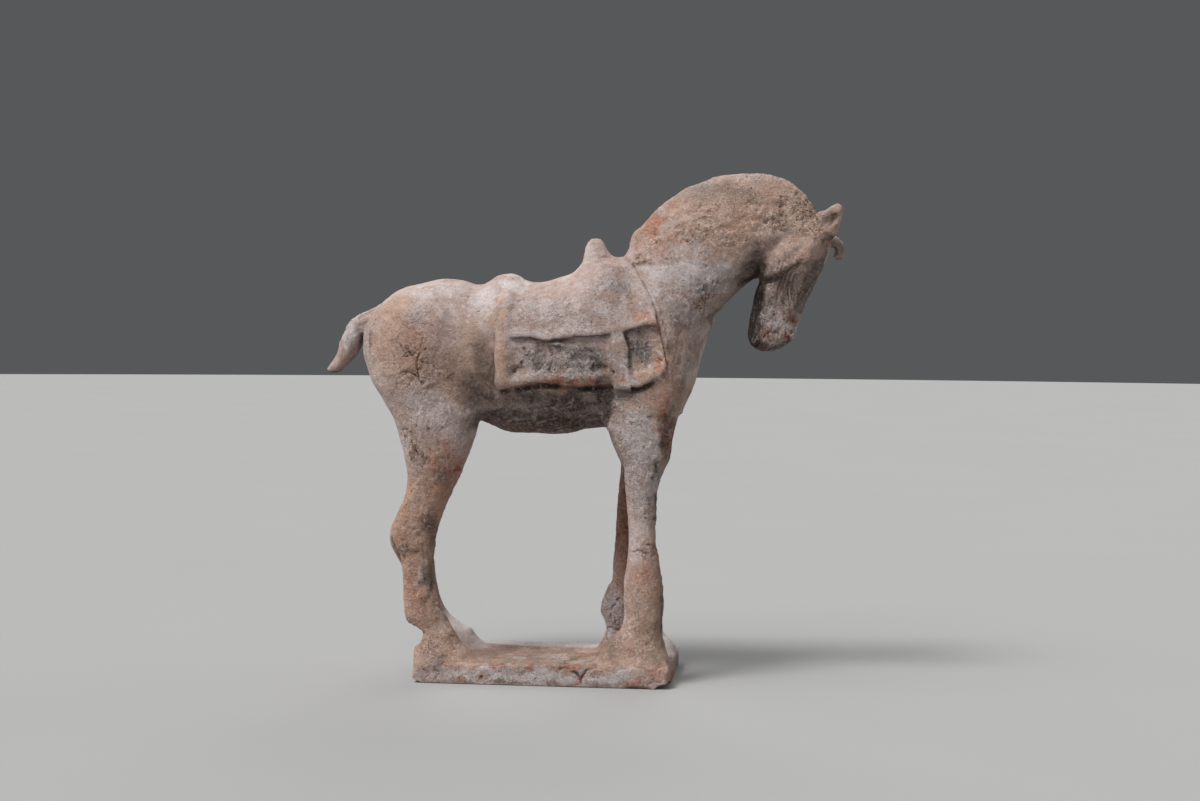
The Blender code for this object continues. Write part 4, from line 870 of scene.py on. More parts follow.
PALE = (      # chalky pale skin of slip; some patches are painted light, on the cantle top, the lower neck and the far feet
    (-1, 23, 190.5, 1.6, 3.4, 0, 1.3), (-1, -6, 191, 1.4, 3.0, 0, 1.2), (-1, 29, 186.5, 1.6, 1.6, 0, 1.1),
    (-1, -80, 98, 4, 16, -14, 0.55), (-1, -71, 62, 3, 16, 0, 0.65), (-1, 58, 56, 5, 16, 0, 0.55), (-1, 58, 36, 8, 8, 0, 0.45), (-1, -60, 30, 7, 7, 0, 0.4),
    (-1, 8, 181.0, 34, 2.6, 0, 0.85), (-1, 92, 246, 18, 6, -10, 0.6), (-1, 74, 232, 6, 12, 20, 0.5), (-1, 60, 196, 4, 8, 0, 0.45), (-1, 8, 194, 6, 5, 0, 0.7), (-1, 20, 184, 8, 2.5, 0, 0.8), (-1, 140, 262, 8, 4, -30, 0.35),
    (-1, -8, 5.6, 34, 3.4, 0, 1.3), (-1, 42, 5.8, 14, 3.6, 0, 1.3), (-1, -46, 5.0, 14, 3.0, 0, 1.0),
    (-1, -74, 217, 22, 8, 10, 0.5), (-1, -56, 196, 9, 14, 0, 0.4), (-1, 14, 222, 28, 7, 0, 0.5), (-1, -84, 186, 7, 14, 0, 0.35),
    (-1, 84, 255, 20, 5, -8, 0.75), (-1, 102, 258, 14, 5, 6, 0.5), (-1, 124, 266, 12, 6, -20, 0.55), (-1, 98, 272, 12, 6, 0, 0.35), (-1, 82, 276, 9, 6, 30, 0.35), (-1, 70, 262, 7, 5, 20, 0.4),
    (-1, 13, 180.4, 36, 2.2, 0, 0.9), (-1, 98, 238, 13, 8, 30, 0.95),
    (-1, -62, 156, 16, 15, 0, 0.7), (-1, 52, 108, 4, 26, 0, 0.6),
    (-1, 0, 6.5, 76, 4, 0, 0.85), (-1, 133, 209, 7, 9, 0, 0.9), (-1, 58, 105, 5, 26, 0, 0.6), (-1, -92, 208, 5, 10, 0, 0.4), (-1, -70, 84, 4, 8, 0, 0.5),
    (-1, 80, 244, 22, 9, -12, 0.7), (-1, -72, 108, 5, 8, -20, 0.6), (-1, -79, 89, 7, 10, 0, 0.5), (-1, -117, 204, 11, 14, 45, 0.6),
    (-1, 92, 278, 26, 8, 20, 0.25), (-1, -76, 62, 4, 16, 0, 0.4), (-1, 60, 64, 5, 12, 0, 0.5), (0, 75, 296, 44, 3.5, 0, 0.4),
    (-1, 88, 238, 18, 9, -10, 1.2), (-1, 57, 142, 13, 22, 0, 0.95), (1, -53, 22, 14, 9, 0, 1.0),
    (1, 68, 17, 10, 8, 0, 1.0), (-1, 133, 205, 6, 9, -20, 0.8), (-1, 169, 277, 4, 2.2, -60, 0.35),
    (-1, -19.5, 233.3, 9.2, 5.1, 0, 1.4), (-1, -37, 224.2, 6, 15.2, 0, 1.1),
    (-1, -63.2, 228.1, 24.6, 5.3, 8, 0.75), (-1, 32, 233.2, 11.7, 4.7, 20, 0.8),
    (-1, 47.9, 236.4, 5.8, 5.8, -30, 0.75), (-1, 9.7, 212.6, 29.2, 3.5, 0, 0.45),
    (-1, 66.5, 239.4, 11.7, 6.8, -30, 1.1), (-1, 64, 224.7, 7, 8.8, 0, 0.5), (-1, 55.7, 143.5, 8.8, 19.9, 0, 0.45),
    (-1, 51.7, 108.4, 2.9, 18.7, 0, 0.65), (-1, -71.5, 159.4, 10.5, 9.9, 0, 0.5), (-1, 128.7, 214.9, 4.1, 7, 0, 0.9),
    (-1, 135.3, 205, 5.8, 5.3, 0, 0.75), (-1, 131.7, 210.8, 2.9, 8.8, 0, 0.85), (-1, 3.5, 4.2, 70, 3.4, 0, 0.7),
    (-1, 29.8, 5.7, 14.6, 3.5, 0, 0.5), (-1, 24, 191.3, 2.3, 4.1, 0, 0.8), (-1, -10.3, 184, 6.4, 4.7, 0, 0.6),
    (-1, 39.1, 183.9, 3.5, 5.8, 0, 0.5), (-1, 8.9, 157.1, 23.4, 5.8, -5, 0.35), (-1, -122.2, 203, 7, 5.3, 45, 1.4),
    (-1, -119.4, 210.9, 5.8, 3.5, 45, 1.3), (-1, -86.5, 79.2, 1.8, 4.7, 0, 0.5), (-1, 75.5, 224.9, 5.8, 8.2, 0, 0.35),
    (-1, 139, 242.8, 7, 2, 30, 0.5), (-1, 169.8, 274.8, 1.8, 5.3, -15, 0.6), (-1, 27.7, 254.3, 4.1, 5.8, 0, 0.6),
    (-1, 45.1, 189.7, 3.5, 12.9, 0, 0.35), (1, -30, 224, 14, 10, 0, 0.7), (1, 30, 232, 20, 7, 0, 0.7),
    (1, 30, 215, 20, 9, 0, 0.4), (1, 58, 130, 9, 24, 0, 0.45), (1, -64, 24, 12, 8, 0, 0.9),
    (1, 62, 20, 10, 7, 0, 0.8), (1, 0, 5, 72, 5, 0, 0.6), (1, -66, 228, 26, 6, 8, 0.7), (1, 66, 232, 12, 10, 0, 0.5),
    (1, 132, 207, 9, 10, 0, 0.8), (0, -100, 222, 10, 6, 20, 0.5),
)
GRIME_AND_SHADE = (      # ground-in dirt, and painted shade where the belly, the throat, the face, the flank and the base's dish fall dark
    (-1, 71.5, 150, 3, 24, 0, 0.6), (-1, 70, 174, 4, 8, 0, 0.4),
    (-1, 34, 186, 5, 3.5, 0, 0.7), (-1, -16, 184, 4, 4, 0, 0.7), (-1, 80, 178, 4, 16, 0, 0.5),
    (-1, 40, 24, 8, 13, -15, 0.60), (-1, 68.8, 98, 2.4, 26, 0, 0.8), (-1, 71, 45, 2.0, 24, 0, 0.55), (-1, -67, 90, 4, 14, 0, 0.55),
    (-1, 96, 288, 40, 8, -4, 0.36), (-1, -31, 175, 6, 15, 0, 0.75), (-1, 37.5, 161, 3.6, 10, 0, 1.3), (-1, 129, 224, 5, 11, 0, 0.6),
    (1, 165.8, 254.4, 3.2, 3.0, 0, 1.0),
    (-1, 120, 210, 5.6, 20, 0, 1.9), (1, 120.5, 210, 3.5, 14, 4, 0.3), (-1, 124, 198, 5, 4, 0, 0.9), (-1, 156, 241, 5, 20, -18, 0.80), (-1, 54, 247.5, 4, 2, 0, 0.55),
    (-1, 165.0, 271.8, 5.4, 2.4, 40, 0.7), (-1, 147, 238, 9, 12, 20, 0.35),
    (-1, 73, 146, 3.0, 26, 0, 0.7), (-1, 98, 214, 2.0, 14, -32, 0.6), (-1, 86, 193, 2.0, 14, -16, 0.5), (-1, 108, 228, 2.0, 12, -44, 0.5), (-1, 124, 252, 6, 5, 10, 0.7), (-1, 38, 140, 3, 16, 0, 0.5),
    (-1, -36, 190, 8, 20, 0, 0.66), (-1, -37, 171, 11, 8, 0, 0.7), (-1, 6, 166, 35, 4.5, 0, 0.8), (-1, 142, 229, 15, 16, 12, 0.62),
    (-1, 73.5, 147, 3.6, 20, 0, 0.6), (-1, -67.5, 58, 3, 24, 0, 0.55), (-1, 166, 274, 9, 8, 33, 0.42), (-1, 0, 0.3, 78, 1.2, 0, 0.5),
    (-1, -50, 188, 22, 14, 0, 0.28), (-1, 77, 192, 5.5, 30, 0, 0.6),
    (-1, 121.5, 227, 6.2, 22, 4, 2.0), (1, 122, 227, 5.0, 18, 8, 0.35), (-1, 122, 240, 4.4, 7, 10, 1.6), (-1, 6, 147, 26, 5, 0, 0.75),
    (1, 170, 257, 7, 8, 0, 0.7), (1, -62, 66, 16, 46, 0, 0.55), (-1, 165, 270.6, 3.6, 2.6, 33, 0.5),
    (-1, 122, 250, 7, 9, 20, 0.55), (-1, -29.4, 182, 1.8, 14, 0, 0.8),
    (-1, 1, 155.9, 32, 8.8, 0, 0.65), (-1, -41.1, 172.5, 14, 11.7, 0, 0.6), (-1, 36.2, 167.4, 7, 10.5, 0, 0.95),
    (-1, 46, 168.8, 5.8, 4.7, 0, 0.5), (-1, 115.6, 239.4, 15.2, 6.4, 20, 0.55),
    (-1, 89.8, 214.5, 7, 17.5, 20, 0.12), (-1, -54.6, 119.2, 4.7, 11.7, -20, 0.3),
    (-1, -105.9, 198.9, 2.9, 8.8, 0, 0.6), (-1, 123.7, 244.1, 3.5, 8.2, 0, 0.8), (-1, -25.7, 168.6, 5.8, 8.2, 0, 0.6),
    (-1, 162.5, 260.5, 4.1, 5.3, 0, 0.5), (-1, 136.4, 198.5, 8.2, 4.1, 0, 0.4), (-1, 47.8, 198.4, 2.3, 8.2, 0, 0.5),
    (0, 2, 150, 28, 8, 0, 1), (0, -20, 152, 30, 8, 0, 0.9), (1, 1, 157, 32, 9, 0, 0.9), (1, -41, 172, 14, 12, 0, 0.6),
    (1, 36, 167, 7, 10, 0, 0.9), (1, 139, 230, 9, 12, 0, 0.8), (1, 115, 239, 15, 7, 20, 0.6),
    (0, 121, 226, 5.5, 18, 8, 0.9), (0, 118, 244, 10, 6, 20, 0.9), (1, 44, 90, 12, 46, 0, 0.55),
    (1, 42, 40, 10, 20, 0, 0.4), (1, -84, 60, 12, 40, 0, 0.5), (0, 0, 12, 60, 3.5, 0, 0.42),
    (0, 64, 168, 14, 12, 0, 0.3),
)
WARM = (      # thin slip, the tan clay shows through
    (-1, 90, 236, 20, 9, -6, 0.55),
    (0, 0, 12, 60, 5, 0, 0.8),
    (-1, -88, 200, 13, 30, 0, 0.75), (-1, 100, 262, 40, 16, 12, 0.8),
    (-1, 40, 20, 18, 16, 0, 1.0), (-1, -52, 20, 16, 12, 0, 1.0), (-1, 62, 20, 20, 16, 0, 0.9), (-1, -72, 22, 18, 14, 0, 0.8),
    (-1, 70, 175, 10, 30, 0, 0.9), (-1, -66, 100, 20, 34, 0, 0.9), (-1, 60, 168, 16, 14, 0, 0.7),
    (-1, -24.5, 195, 4, 32, 0, 1.0), (-1, -46, 182, 22, 24, 0, 0.8), (-1, 165, 271, 8, 6, 33, 1.0), (-1, 10, 178, 40, 6, 0, 0.9),
    (-1, 66, 190, 12, 26, 0, 0.5),
    (-1, 108, 273, 54, 24, 12, 0.85), (-1, 66.4, 50.7, 15.2, 43.9, 0, 0.8),
    (-1, -77.5, 64.8, 19.9, 52.6, 0, 0.9), (-1, -1.8, 12.5, 73.1, 4.5, 0, 0.8), (-1, 147.6, 247.5, 25.7, 24.6, 0, 0.6),
    (-1, -69.3, 182.9, 26.3, 23.4, 0, 0.45), (-1, -125.4, 193.9, 9.4, 12.9, 0, 0.4),
    (-1, 1.5, 176.6, 35.1, 3.5, 0, 0.5), (-1, -64.9, 13.1, 14, 11.7, 0, 0.6), (-1, 71.1, 149.4, 5.8, 23.4, 0, 0.5),
    (-1, -96.4, 223.8, 10.5, 17.5, 0, 0.4), (1, 107, 269, 56, 29, 12, 0.85), (1, 50, 60, 20, 60, 0, 0.9),
    (1, -86, 70, 22, 60, 0, 0.9), (1, 0, 12, 75, 8, 0, 0.9), (1, 147, 247, 26, 24, 0, 0.6),
    (1, -69, 183, 26, 24, 0, 0.45), (1, 2, 176, 35, 3.5, 0, 0.5),
)
ROUGH = (      # coarse surface
    (-1, 138, 246, 15, 12, 0, 0.6), (-1, 148, 228, 9, 20, 15, 0.7),
    (-1, 66, 40, 18, 36, 0, 0.45), (-1, -68, 130, 26, 30, 0, 0.4), (-1, -78, 88, 17, 28, 0, 0.42), (-1, -66, 30, 20, 20, 0, 0.6),
    (-1, -118, 204, 18, 18, 0, 0.5), (-1, -74, 192, 18, 26, 0, 0.6),
    (-1, 13, 188.3, 29.2, 11.7, 0, 1), (-1, 56.3, 194.4, 8.2, 15.2, 0, 1), (-1, 106.7, 271.9, 49.7, 26.3, 10, 0.38),
    (-1, 147.3, 275.4, 11.7, 14.6, 0, 0.9), (-1, -69.3, 181.7, 24.6, 22.2, 0, 0.6),
    (-1, 9.3, 161.3, 55.6, 10.5, 0, 1), (-1, 56.9, 137.7, 15.2, 30.4, 0, 0.7), (-1, -79.9, 79.6, 8.8, 12.9, 0, 0.55),
    (-1, 130.5, 210.8, 14, 17.5, 0, 1), (-1, 136.1, 245.7, 15.2, 11.7, 0, 0.5), (-1, 89.8, 225, 17.5, 17.5, 0, 0.55),
    (-1, 3.5, 6.7, 84.8, 8.2, 0, 0.5), (-1, 39.3, 230.3, 11.7, 11.7, 0, 0.6), (-1, -61.4, 13.2, 12.9, 12.9, 0, 0.7),
    (-1, -75.7, 58.9, 8.8, 18.7, 0, 0.5), (-1, -65.2, 124.3, 17.5, 18.7, 0, 0.55),
    (-1, 12.7, 212.6, 35.1, 10.5, 0, 0.35), (-1, 71.5, 224.8, 10.5, 17.5, 0, 0.45),
    (-1, 65.4, 108.4, 8.2, 17.5, 0, 0.6), (1, 5, 190, 30, 12, 0, 1), (1, 56, 194, 9, 14, 0, 0.9),
    (1, 104, 270, 48, 26, 10, 0.6), (1, 9, 161, 55, 11, 0, 1), (0, 3, 4, 85, 6, 0, 0.45), (1, 56, 138, 15, 30, 0, 0.6),
    (1, -70, 182, 24, 22, 0, 0.6), (1, -84, 80, 10, 14, 0, 0.8), (1, 130, 211, 14, 17, 0, 0.9),
    (1, 38, 40, 9, 16, 0, 0.9), (1, 48, 90, 10, 40, 0, 0.5), (1, -66, 124, 18, 18, 0, 0.55),
    (1, 139, 245, 15, 12, 0, 0.8),
)
FIBRE = (      # pale hair roots and scratches
    (-1, 6, 158, 36, 9, 0, 0.9), (-1, 13, 190, 26, 8, 0, 0.8), (-1, 96, 238, 16, 10, 0, 0.7),
    (-1, 56, 24, 18, 12, 0, 0.7), (-1, -66, 24, 14, 10, 0, 0.6), (-1, -46, 118, 8, 30, -15, 0.5), (-1, 142, 232, 14, 22, 15, 0.9),
    (-1, 145, 235, 12, 22, 0, 0.75), (-1, 12, 188, 30, 12, 0, 1.0), (-1, 10, 158, 46, 10, 0, 0.8), (-1, 50, 120, 16, 40, 0, 0.4),
    (-1, 66.8, 224.8, 15.2, 18.7, 0, 1), (-1, 56.9, 143.6, 15.2, 30.4, 0, 0.9), (-1, 9.3, 161.3, 49.7, 12.9, 0, 1),
    (-1, 12.9, 206.8, 35.1, 11.7, 0, 0.8), (-1, 21.7, 188.4, 23.4, 10.5, 0, 0.9), (-1, 56.3, 195.6, 9.4, 14, 0, 1),
    (-1, 112.6, 266, 35.1, 17.5, 0, 0.6), (-1, 84, 236.6, 15.2, 15.2, 0, 0.9), (-1, -66.2, 159.5, 19.9, 19.9, 0, 0.7),
    (-1, 133.5, 210.8, 10.5, 15.2, 0, 1), (-1, -62.5, 223.9, 29.2, 12.9, 0, 0.6),
    (-1, 62.1, 189.9, 17.5, 29.2, 0, 0.8), (-1, 3.5, 5, 76, 5.8, 0, 0.6), (-1, 139, 242.8, 11.7, 9.4, 0, 0.7),
    (1, 67, 225, 15, 19, 0, 1), (1, 57, 143, 15, 30, 0, 0.9), (1, 9, 161, 50, 13, 0, 1), (1, 13, 206, 35, 11, 0, 0.8),
    (1, 22, 188, 26, 10, 0, 0.9), (1, 112, 266, 35, 17, 0, 0.6), (1, 84, 236, 15, 15, 0, 0.9),
    (1, -66, 160, 20, 20, 0, 0.7), (1, 133, 211, 10, 15, 0, 0.9), (1, -62, 224, 30, 13, 0, 0.6),
    (0, 3, 5, 80, 6, 0, 0.6),
)
LUMPY = (      # thick lumpy slip
    (-1, 13, 189.5, 25, 7, 0, 0.95), (-1, 57, 195, 5.5, 9, 0, 0.85), (-1, 4, 158, 34, 8, 0, 0.45), (1, 13, 190, 25, 7, 0, 0.7),
    (-1, 107, 272, 50, 24, 10, 1.0), (1, 107, 272, 50, 24, 10, 1.0), (-1, -72, 184, 16, 18, 0, 0.7), (-1, -80, 80, 10, 14, 0, 0.8),
    (-1, 62, 26, 18, 12, 0, 0.6), (-1, -66, 22, 14, 12, 0, 0.6), (1, 60, 26, 18, 14, 0, 0.6), (1, -70, 184, 18, 18, 0, 0.6),
)
STREAK = (      # streaks dragged along the head
    (-1, 86, 229, 9, 14, 20, 0.45), (-1, 79, 205, 6, 18, 0, 0.45), (-1, 67, 168, 7, 14, 0, 0.4), (-1, -64, 118, 10, 26, -15, 0.35), (1, 84, 222, 9, 18, 15, 0.35), (1, -64, 118, 10, 26, -15, 0.3),
    (-1, 142, 231, 12, 18, 15, 0.9), (-1, 132.5, 208, 10, 12, 0, 1.0), (-1, 147, 247, 6, 6, 30, 0.5), (1, 142, 231, 12, 18, 15, 0.35),
    (1, 132.5, 208, 10, 12, 0, 0.4), (-1, -2, 188, 10, 9, 0, 0.7), (-1, 24, 190, 12, 9, 0, 0.5), (-1, 52, 128, 14, 34, 0, 0.35),
    (-1, -66, 148, 16, 22, 0, 0.4), (-1, 60, 40, 14, 20, 0, 0.3),
)
SWEEP = (      # streaks swept along the belly, the mane and the back
    (-1, 4, 157, 38, 10, 0, 0.85), (-1, 12, 214, 30, 9, 0, 0.30), (-1, -64, 216, 22, 9, 0, 0.28), (-1, 92, 268, 28, 14, 10, 0.30),
    (-1, 12, 190, 26, 9, 0, 0.35), (1, 4, 157, 38, 10, 0, 0.7), (1, 12, 212, 30, 9, 0, 0.25), (1, 92, 268, 28, 14, 10, 0.25),
)
# painted light: the far rim of the base and the far feet, made pale as though lit from behind
FAR_LIT = (
    (1, -54, 23, 20, 12, 0, 1.0), (1, 66, 18, 14, 11, 0, 1.0), (1, 37, 34, 9, 18, 0, 0.6),
)
CRACKED = (
    (-1, -78.0, 187.0, 10.0, 15.0, -15, 1.0), (-1, -80.0, 174.0, 8.0, 7.0, 0, 0.9), (-1, -78.0, 142.0, 5.0, 9.0, 20, 0.9),
    (-1, 53.0, 247.5, 7.0, 2.6, 0, 0.9), (-1, 94.0, 228.0, 5.0, 9.0, 0, 0.7), (-1, 64.0, 78.0, 4.5, 4.5, 0, 0.8),
    (-1, -78.0, 80.0, 6.0, 5.0, 0, 0.6), (-1, -66.0, 10.0, 9.0, 10.0, 0, 0.6), (1, 36.0, 36.0, 4.0, 12.0, 0, 0.9),
    (1, -66.0, 190.0, 12.0, 12.0, 20, 0.9), (1, 96.0, 240.0, 9.0, 9.0, 0, 0.7), (1, -84.0, 96.0, 5.0, 9.0, 0, 0.7),
)
# (side, half width, depth, darkness, points in side view)
MARKS = (
    # dragged strokes on the saddle cover
    (-1, 0.45, 0.5, 0.6, ((-15.8, 222.4), (-12.6, 224.6), (-9.2, 225.2))),
    (-1, 0.45, 0.5, 0.7, ((0.7, 214.9), (3.0, 215.2), (5.5, 214.9))),
    (-1, 0.40, 0.4, 0.5, ((30.1, 219.3), (33.6, 218.6))), (-1, 0.40, 0.4, 0.5, ((-51.4, 227.1), (-46.8, 226.3))),
    (-1, 0.35, 0.35, 0.4, ((-49.9, 208.0), (-46.5, 208.7))),
    (-1, 0.35, 0.35, 0.3, ((22.0, 212.0), (28.0, 213.0), (33.0, 212.0))), (-1, 0.5, 0.5, 0.5, ((5.0, 196.4), (8.4, 197.4), (12.6, 199.6))),
    # cracks, flakes, tool marks and folds, from the tail to the muzzle
    (-1, 0.45, 0.8, 0.8, ((-70.9, 201.5), (-72.5, 195.7), (-76.5, 192.1), (-80.1, 190.3))),
    (-1, 0.5, 0.9, 0.9, ((-68.4, 195.7), (-72.3, 189.8), (-74.0, 184.0), (-72.2, 177.6), (-70.4, 173.5))),
    (-1, 0.4, 0.6, 0.7, ((-82.4, 181.6), (-86.1, 176.8), (-85.5, 172.1), (-83.0, 169.8))),
    (-1, 0.4, 0.6, 0.6, ((-82.4, 181.6), (-78.2, 182.2), (-74.6, 180.5), (-72.2, 177.0))),
    (-1, 0.35, 0.5, 0.6, ((-76.5, 192.1), (-79.0, 194.4), (-83.2, 193.2))),
    (-1, 0.35, 0.45, 0.5, ((-82.1, 208.5), (-78.3, 205.6), (-74.5, 203.8), (-70.3, 202.7))),
    (-1, 0.35, 0.45, 0.6, ((-74.0, 174.6), (-71.6, 171.7), (-69.8, 175.3))),
    (-1, 0.3, 0.35, 0.3, ((-76.3, 165.8), (-75.1, 159.4), (-73.3, 151.2))),
    (-1, 0.4, 0.6, 0.9, ((-83.9, 146.8), (-81.0, 148.7), (-77.7, 147.6), (-76.5, 144.7), (-79.1, 142.2), (-82.6, 143.3), (-83.9, 146.8))),
    (-1, 0.4, 0.6, 0.9, ((-77.9, 139.9), (-75.4, 136.5), (-72.3, 132.4), (-69.9, 128.3), (-72.4, 126.5), (-75.5, 130.0), (-77.3, 134.6))),
    (-1, 0.35, 0.5, 0.8, ((-72.3, 132.4), (-74.8, 131.8))),
    (-1, 0.35, 0.4, 0.5, ((-70.4, 98.7), (-66.6, 98.6), (-67.3, 93.8), (-71.6, 93.3), (-70.4, 98.7))),
    (-1, 0.35, 0.4, 0.35, ((-72.8, 90.4), (-68.9, 92.1), (-65.7, 92.2))),
    (-1, 0.9, 0.35, 0, ((-71.7, 88.5), (-71.3, 77.8), (-70.3, 64.7), (-67.7, 51.8))),
    (-1, 0.4, 0.6, 0.9, ((-79.4, 66.5), (-77.6, 67.8), (-75.8, 66.6))),
    (-1, 0.4, 0.5, 0.8, ((-79.4, 61.8), (-78.2, 64.8))),
    (-1, 0.45, 0.8, 0.7, ((51.2, 77.9), (56.1, 78.9), (60.2, 77.8), (63.1, 76.6), (65.7, 78.1))),
    (-1, 0.35, 0.5, 0.6, ((59.1, 77.8), (60.2, 82.5), (63.5, 83.5), (65.7, 80.4), (64.7, 76.5))),
    (-1, 1.0, 1.3, 1.0, ((12.0, 11.6), (16.0, 10.8), (19.6, 9.6), (22.2, 7.8), (24.0, 5.4), (24.3, 0.0))),
    (-1, 0.5, 0.7, 0.6, ((5.8, 9.7), (9.8, 11.4), (14.3, 11.9))),
    (-1, 0.9, 1.1, 0.95, ((33.0, 12.0), (29.6, 11.0), (26.8, 9.0), (24.6, 6.0), (24.2, 1.0))),
    (-1, 0.3, 0.4, 0.4, ((-16.4, 12.1), (-17.6, 9.0), (-18.8, 5.5))),
    (-1, 0.5, 0.6, 0.6, ((59.8, 12.1), (64.6, 10.2), (69.5, 12.1))),
    (-1, 0.4, 0.5, 0.6, ((63.5, 3.2), (67.5, 5.1), (72.7, 3.5))),
    (-1, 0.35, 0.4, 0.2, ((58.4, 19.3), (62.4, 20.4), (66.3, 21.4))),
    (-1, 0.5, 0.7, 0.6, ((140.2, 232.4), (141.4, 227.8), (140.3, 222.0))),
    (-1, 0.45, 0.6, 0.5, ((143.1, 233.6), (143.8, 229.0), (142.7, 222.6))),
    (-1, 0.35, 0.4, 0.3, ((136.8, 225.4), (137.5, 218.4))),
    (-1, 0.35, 0.4, 0.3, ((146.6, 230.8), (147.8, 225.6))),
    (-1, 0.35, 0.4, 0.3, ((130.3, 235.4), (134.4, 230.7), (136.8, 225.4))),
    (-1, 0.4, 0.4, 0.3, ((139.0, 240.0), (141.9, 236.5), (140.8, 232.4))),
    (-1, 0.4, 0.5, 0.5, ((145.9, 247.5), (148.8, 244.1), (151.2, 239.5))),
    (-1, 0.35, 0.4, 0.4, ((126.5, 209.0), (129.4, 204.3), (128.3, 198.5))),
    (-1, 0.35, 0.4, 0.3, ((134.0, 214.9), (134.7, 207.9), (133.0, 200.9))),
    (-1, 0.4, 0.5, 0.5, ((137.6, 199.1), (140.6, 201.5), (143.5, 203.3))),
    (-1, 0.45, 0.6, 0.6, ((50.7, 261.8), (51.4, 256.5), (52.6, 250.9))),
    (-1, 0.4, 0.5, 0.5, ((76.4, 263.1), (78.7, 264.8), (81.1, 262.4), (79.4, 260.1))),
    (-1, 0.4, 0.5, 0.5, ((87.5, 266.6), (91.0, 265.4), (94.0, 263.0), (92.3, 260.1))),
    (-1, 0.4, 0.5, 0.5, ((103.3, 263.7), (107.4, 264.9), (110.9, 261.9))),
    (-1, 0.4, 0.5, 0.5, ((134.4, 284.0), (136.6, 285.9), (140.2, 284.2), (139.0, 281.7))),
    (-1, 0.6, 0.9, 0.9, ((127.0, 238.2), (132.0, 238.6), (137.0, 240.8), (142.0, 243.6), (146.0, 246.0))),
    (-1, 0.4, 0.4, 0.4, ((94.7, 280.3), (97.0, 282.7), (99.3, 283.9))),
    (-1, 0.3, 0.3, 0.1, ((65.5, 229.5), (69.1, 227.1), (71.5, 222.5))),
    (-1, 0.3, 0.3, 0.1, ((67.8, 230.6), (71.4, 228.3), (73.8, 223.1))),
    (-1, 1.6, 0.5, 0.1, ((-29.6, 230.1), (-26.7, 221.1), (-24.9, 212.4), (-22.2, 204.8))),
    (-1, 0.45, 0.6, 0.5, ((31.5, 249.5), (34.2, 250.3), (36.6, 250.5))),
    (-1, 0.4, 0.3, 0.1, ((24.8, 258.1), (24.2, 251.9), (23.4, 246.5))),
    (-1, 0.4, 0.3, 0.1, ((28.4, 258.6), (29.5, 253.1), (30.5, 248.3))),
    (-1, 0.45, 0.5, 0.5, ((19.0, 239.9), (21.3, 242.3), (24.2, 243.5))),
    (1, 0.6, 1.2, 1.0, ((42.2, 45.8), (39.2, 43.3), (35.5, 40.2), (35.0, 33.4), (35.6, 28.5), (39.9, 25.0), (43.5, 26.5))),
    (1, 0.5, 0.9, 0.9, ((34.5, 26.5), (32.5, 22.0), (34.5, 17.5))), (1, 0.35, 0.5, 0.6, ((46.0, 47.0), (49.0, 40.0), (48.0, 31.0))),
    # far side, plainer
    (1, 0.4, 0.5, 0.6, ((-70.0, 200.0), (-66.0, 193.0), (-68.0, 186.0), (-64.0, 180.0))), (1, 0.35, 0.35, 0.4, ((10.0, 220.0), (16.0, 221.5))),
    (1, 0.4, 0.5, 0.6, ((-10.0, 12.0), (-7.0, 7.0), (-8.0, 0.0))), (1, 0.4, 0.5, 0.5, ((52.0, 92.0), (46.0, 90.0), (41.0, 92.0))),
)
# thin double line along the front edge of the saddle, and the raised lip in front of it
FRONT_LINE = (
    (-1, 0.55, 0.70, 0.62, ((39.0, 252.4), (44.0, 250.2), (50.4, 245.0), (56.6, 235.6), (61.6, 227.4), (65.2, 218.0),
                            (67.7, 207.0), (69.8, 197.5), (71.8, 188.4), (72.4, 184.0))),
    (1, 0.55, 0.60, 0.40, ((39.0, 252.4), (44.0, 250.2), (51.4, 244.0), (57.6, 234.6), (62.6, 225.4), (66.2, 214.0),
                           (68.7, 203.0), (71.0, 190.0))),
)
FRONT_LIP = (
    (-1, 0.70, 0.75, 0.0, ((45.6, 250.8), (52.0, 245.6), (58.2, 236.2), (63.2, 228.0), (66.8, 218.4), (69.3, 207.2), (71.4, 197.6))),
)
DOTS = (   # small round pits: (side, x, z, radius, depth)
    (-1, -12.6, 187.8, 1.3, 1.0), (-1, -16.4, 182.6, 1.3, 1.0), (-1, -11.1, 196.0, 1.1, 0.9), (-1, 41.0, 182.4, 1.5, 0.9), (-1, 36.5, 186.0, 1.0, 0.8),
    (-1, -34.0, 4.6, 1.0, 1.3), (-1, 5.0, 2.6, 0.8, 0.9), (-1, 99.8, 235.6, 1.2, 0.9), (-1, -74.0, 150.0, 0.8, 0.7),
    (-1, -67.0, 148.6, 0.8, 0.7), (-1, 82.0, 259.5, 1.2, 0.7), (-1, 75.0, 262.0, 1.0, 0.6), (-1, 136.0, 280.0, 1.4, 0.8),
    (-1, 47.5, 180.0, 0.9, 0.6), (-1, 50.5, 191.5, 0.8, 0.6), (1, 20.0, 230.0, 1.1, 0.6), (1, -60.0, 205.0, 1.2, 0.7),
    (1, 30.0, 5.0, 0.9, 1.0), (1, 88.0, 240.0, 1.1, 0.8),
)


def hem_shadow(p):
    """A painted shadow: the dark line below the hem of the saddle cloth, on both sides."""
    far = p[:, 1] > 0
    x = np.where(far, p[:, 0] + 1.3 + 0.9 * np.sin(p[:, 2] * 0.09), p[:, 0])
    z = np.where(far, p[:, 2] + 1.1 * np.sin(x * 0.07 + 0.8), p[:, 2])
    below = z - height_at(x, CLOTH_HEM)
    ends = step(x, -28.0, -23.0) * (1.0 - step(x, 60.0, 68.0)) * step(np.abs(p[:, 1]), 8.0, 14.0)
    return np.exp(-((below + 2.1) / 1.35) ** 2) * ends * np.clip(0.85 + 0.5 * value_noise(p, 6.0, 431), 0.0, 1.0)


